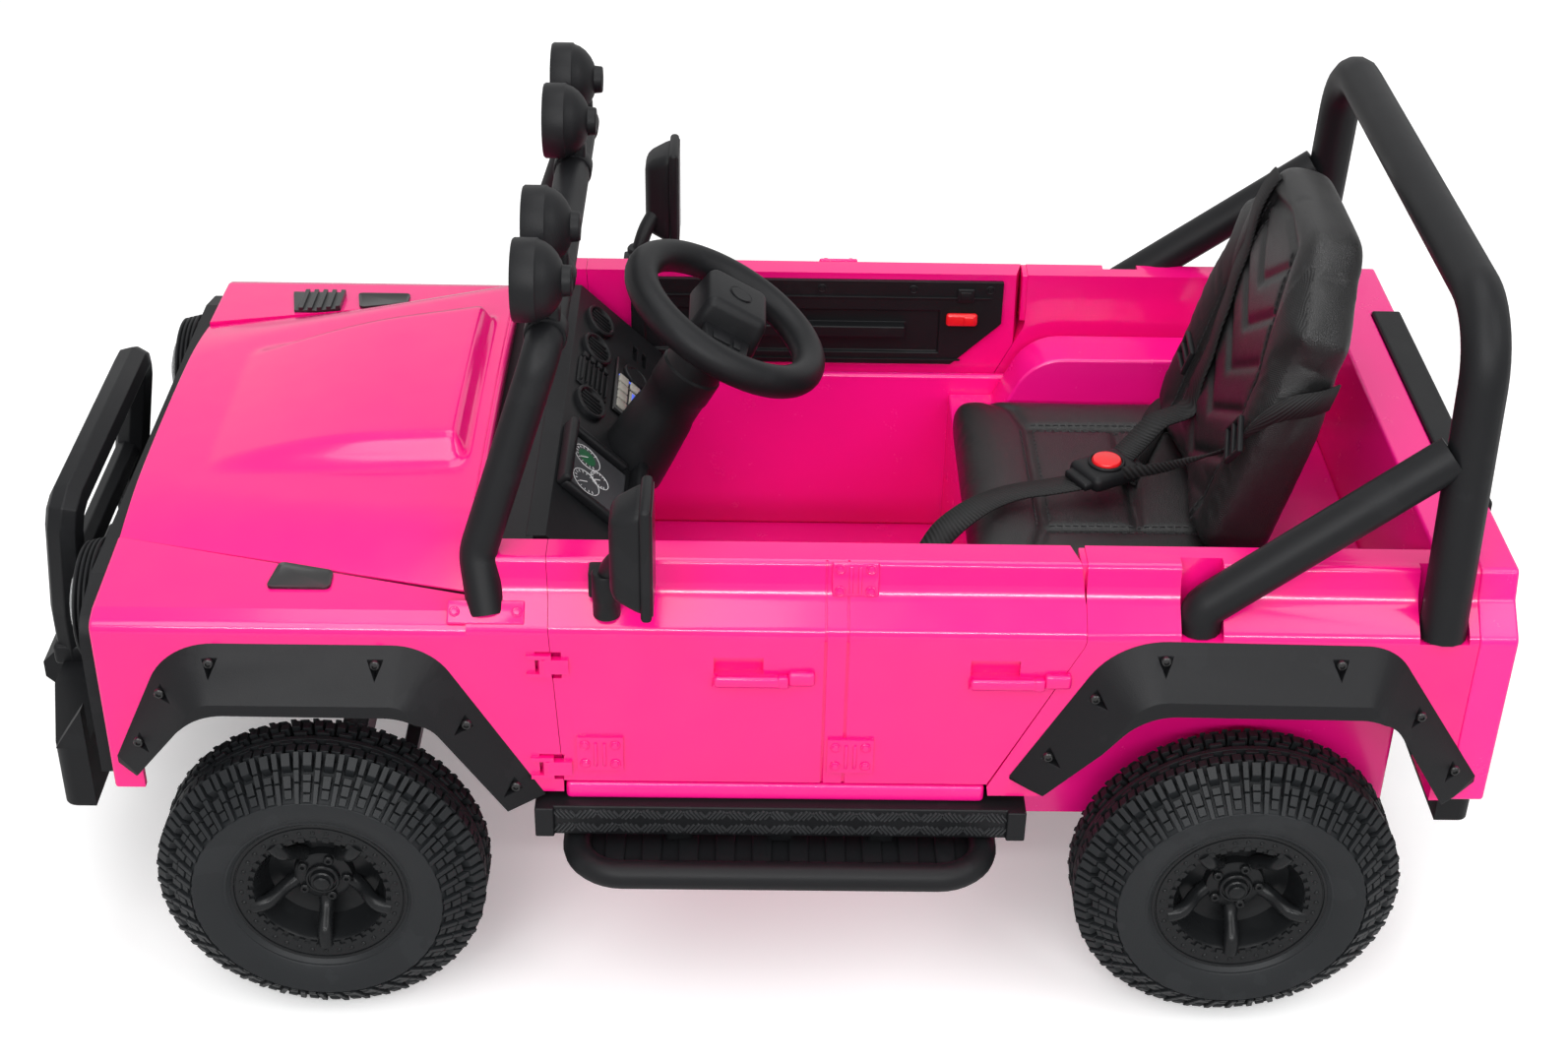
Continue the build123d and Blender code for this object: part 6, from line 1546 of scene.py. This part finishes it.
spun(gauges, [(0, 3.7), (9.6, 3.7), (9.6, 4.0), (0, 4.0)], place(-72, 24, 0), steps=32)
new_faces(gauges, before, 2)
lay(gauges, "gauge_dials", ["gauge_panel"], finishes=(gauge_grey, dial_white, dial_green))
hood = bmesh.new()
soft_cube(hood, (-90, 46.5, 6), (100, 9, 15), 3.6)
for cheek_x in (-137, -43):
    soft_cube(hood, (cheek_x, 14, 4), (8, 66, 10), 3.0)
soft_cube(hood, (-100, -33, 7), (150, 11, 17), 4.0)
lay(hood, "dash_hood")
print("gauges made")

# %% [markdown]
# ## Door cards
# Each inner card is a thin black moulding with a long rib, a recessed pull and screws along its
# top edge, and a red latch lever in two steps.

# %% Door cards
CARD_FACE, LATCH_X = 235.4, -212
card_screw = [(0, 0), (4.6, 0), (4.6, 0.8), (3.8, 1.2), (3.2, 0.6), (2.6, 0.6), (2.2, 1.2), (0, 1.3)]
for hand, side in HANDS:
    door = "door_" + hand
    moulded_copy("door_card_" + hand, "card_" + hand, 1.6, body=door)
    fittings = bmesh.new()
    for screw_x in (100, 20, -70, -160, -236):
        spun(fittings, card_screw, place(screw_x, 236.2, 430) @ TO_RIGHT, steps=16)
    for rib_z, rib_long in ((421, 356), (352, 300)):
        soft_cube(fittings, (-60, CARD_FACE, rib_z), (rib_long, 2.4, 2.2), 0.9, 2)
    soft_cube(fittings, (LATCH_X, CARD_FACE - 0.4, 424), (17, 3.0, 15), 1.4)
    soft_cube(fittings, (LATCH_X, CARD_FACE - 1.8, 424), (11, 2.0, 9), 0.9)
    to_hand(fittings, side)
    add_piece("card_fittings_" + hand, fittings, body=door)
    lever = bmesh.new()
    soft_cube(lever, (LATCH_X + 3, 232.4, 399), (31, 6.8, 13.4), 3.0)
    soft_cube(lever, (LATCH_X - 4, 230.6, 399), (12, 6.0, 11), 2.4)
    to_hand(lever, side)
    add_piece("latch_lever_" + hand, lever, ["door_lever_" + hand], (red,), "red_plastic", door)
print("door cards made")

# %% [markdown]
# ## Sills and steps
# The sill is faced with tread plate: groups of five short bars that lean one way and then the
# other. The step is a bent tube round a sunk tread with ten ribs.

# %% Sills
SILL_FACE, SILL_MID, SILL_FRONT, SILL_REAR = 312.0, 209.0, 159.0, -219.5
GROUPS, STROKE_PITCH, STROKE_LEAN = 21, 3.6, 38
moulded_copy("sills", "sill_boards", 1.6)
tread_plate = bmesh.new()
group_pitch = (SILL_FRONT - SILL_REAR) / GROUPS
for row, rise in enumerate((-7.2, 7.2)):
    for group in range(GROUPS):
        lean_angle = math.radians(STROKE_LEAN if (group + row) % 2 else -STROKE_LEAN)
        for stroke in range(-2, 3):
            stroke_bar = cube(tread_plate, (0, 0, 0), (2.3, 1.8, 13.0 - abs(stroke) * 2.0))
            taper(tread_plate, [corner for corner in stroke_bar if corner.co.y > 0], (0.45, 1, 0.86))
            x = SILL_REAR + (group + 0.5) * group_pitch + stroke * STROKE_PITCH
            spot = place(x, SILL_FACE + 0.7, SILL_MID + rise) @ Matrix.Rotation(lean_angle, 4, "Y")
            bmesh.ops.transform(tread_plate, matrix=spot, verts=stroke_bar)
both_hands(tread_plate)
# Besides the grained finish's rub marks, the bars are a paler black than the other black parts: painted
# highlight on a face that sits in shade.
tread_painted_highlight = grained_plastic("rubbed tread plastic with painted highlight", (0.030, 0.031, 0.033), 0.34)
add_piece("sill_tread_plate", tread_plate, finishes=(tread_painted_highlight,))
print("sills made")

# %% Steps
STEP_FRONT, STEP_REAR, STEP_Y, STEP_ROOT, STEP_Z = 141.0, -201.5, 345.0, 279.0, 179.0
STEP_RIBS, RIB_PITCH = 10, 30.9
step_run = [
    (STEP_FRONT, STEP_ROOT, STEP_Z), (STEP_FRONT, STEP_Y, STEP_Z),
    (STEP_REAR, STEP_Y, STEP_Z), (STEP_REAR, STEP_ROOT, STEP_Z),
]
for hand, side in HANDS:
    side_step = bmesh.new()
    bar(side_step, step_run, 12.0, 40.0)
    soft_cube(side_step, (-30, 311, STEP_Z - 2), (330, 62, 4), 1.2)
    for rib in range(STEP_RIBS):
        soft_cube(side_step, (STEP_REAR + 32 + rib * RIB_PITCH, 316, STEP_Z + 1), (17, 44, 4.6), 1.8)
    for share in (0.25, 0.5, 0.75):
        bracket_x = STEP_REAR + share * (STEP_FRONT - STEP_REAR)
        soft_cube(side_step, (bracket_x, 290, STEP_Z + 8), (22, 24, 17), 3.0)
    to_hand(side_step, side)
    add_piece("step_" + hand + "_tube", side_step, ["step_" + hand])
print("steps made")
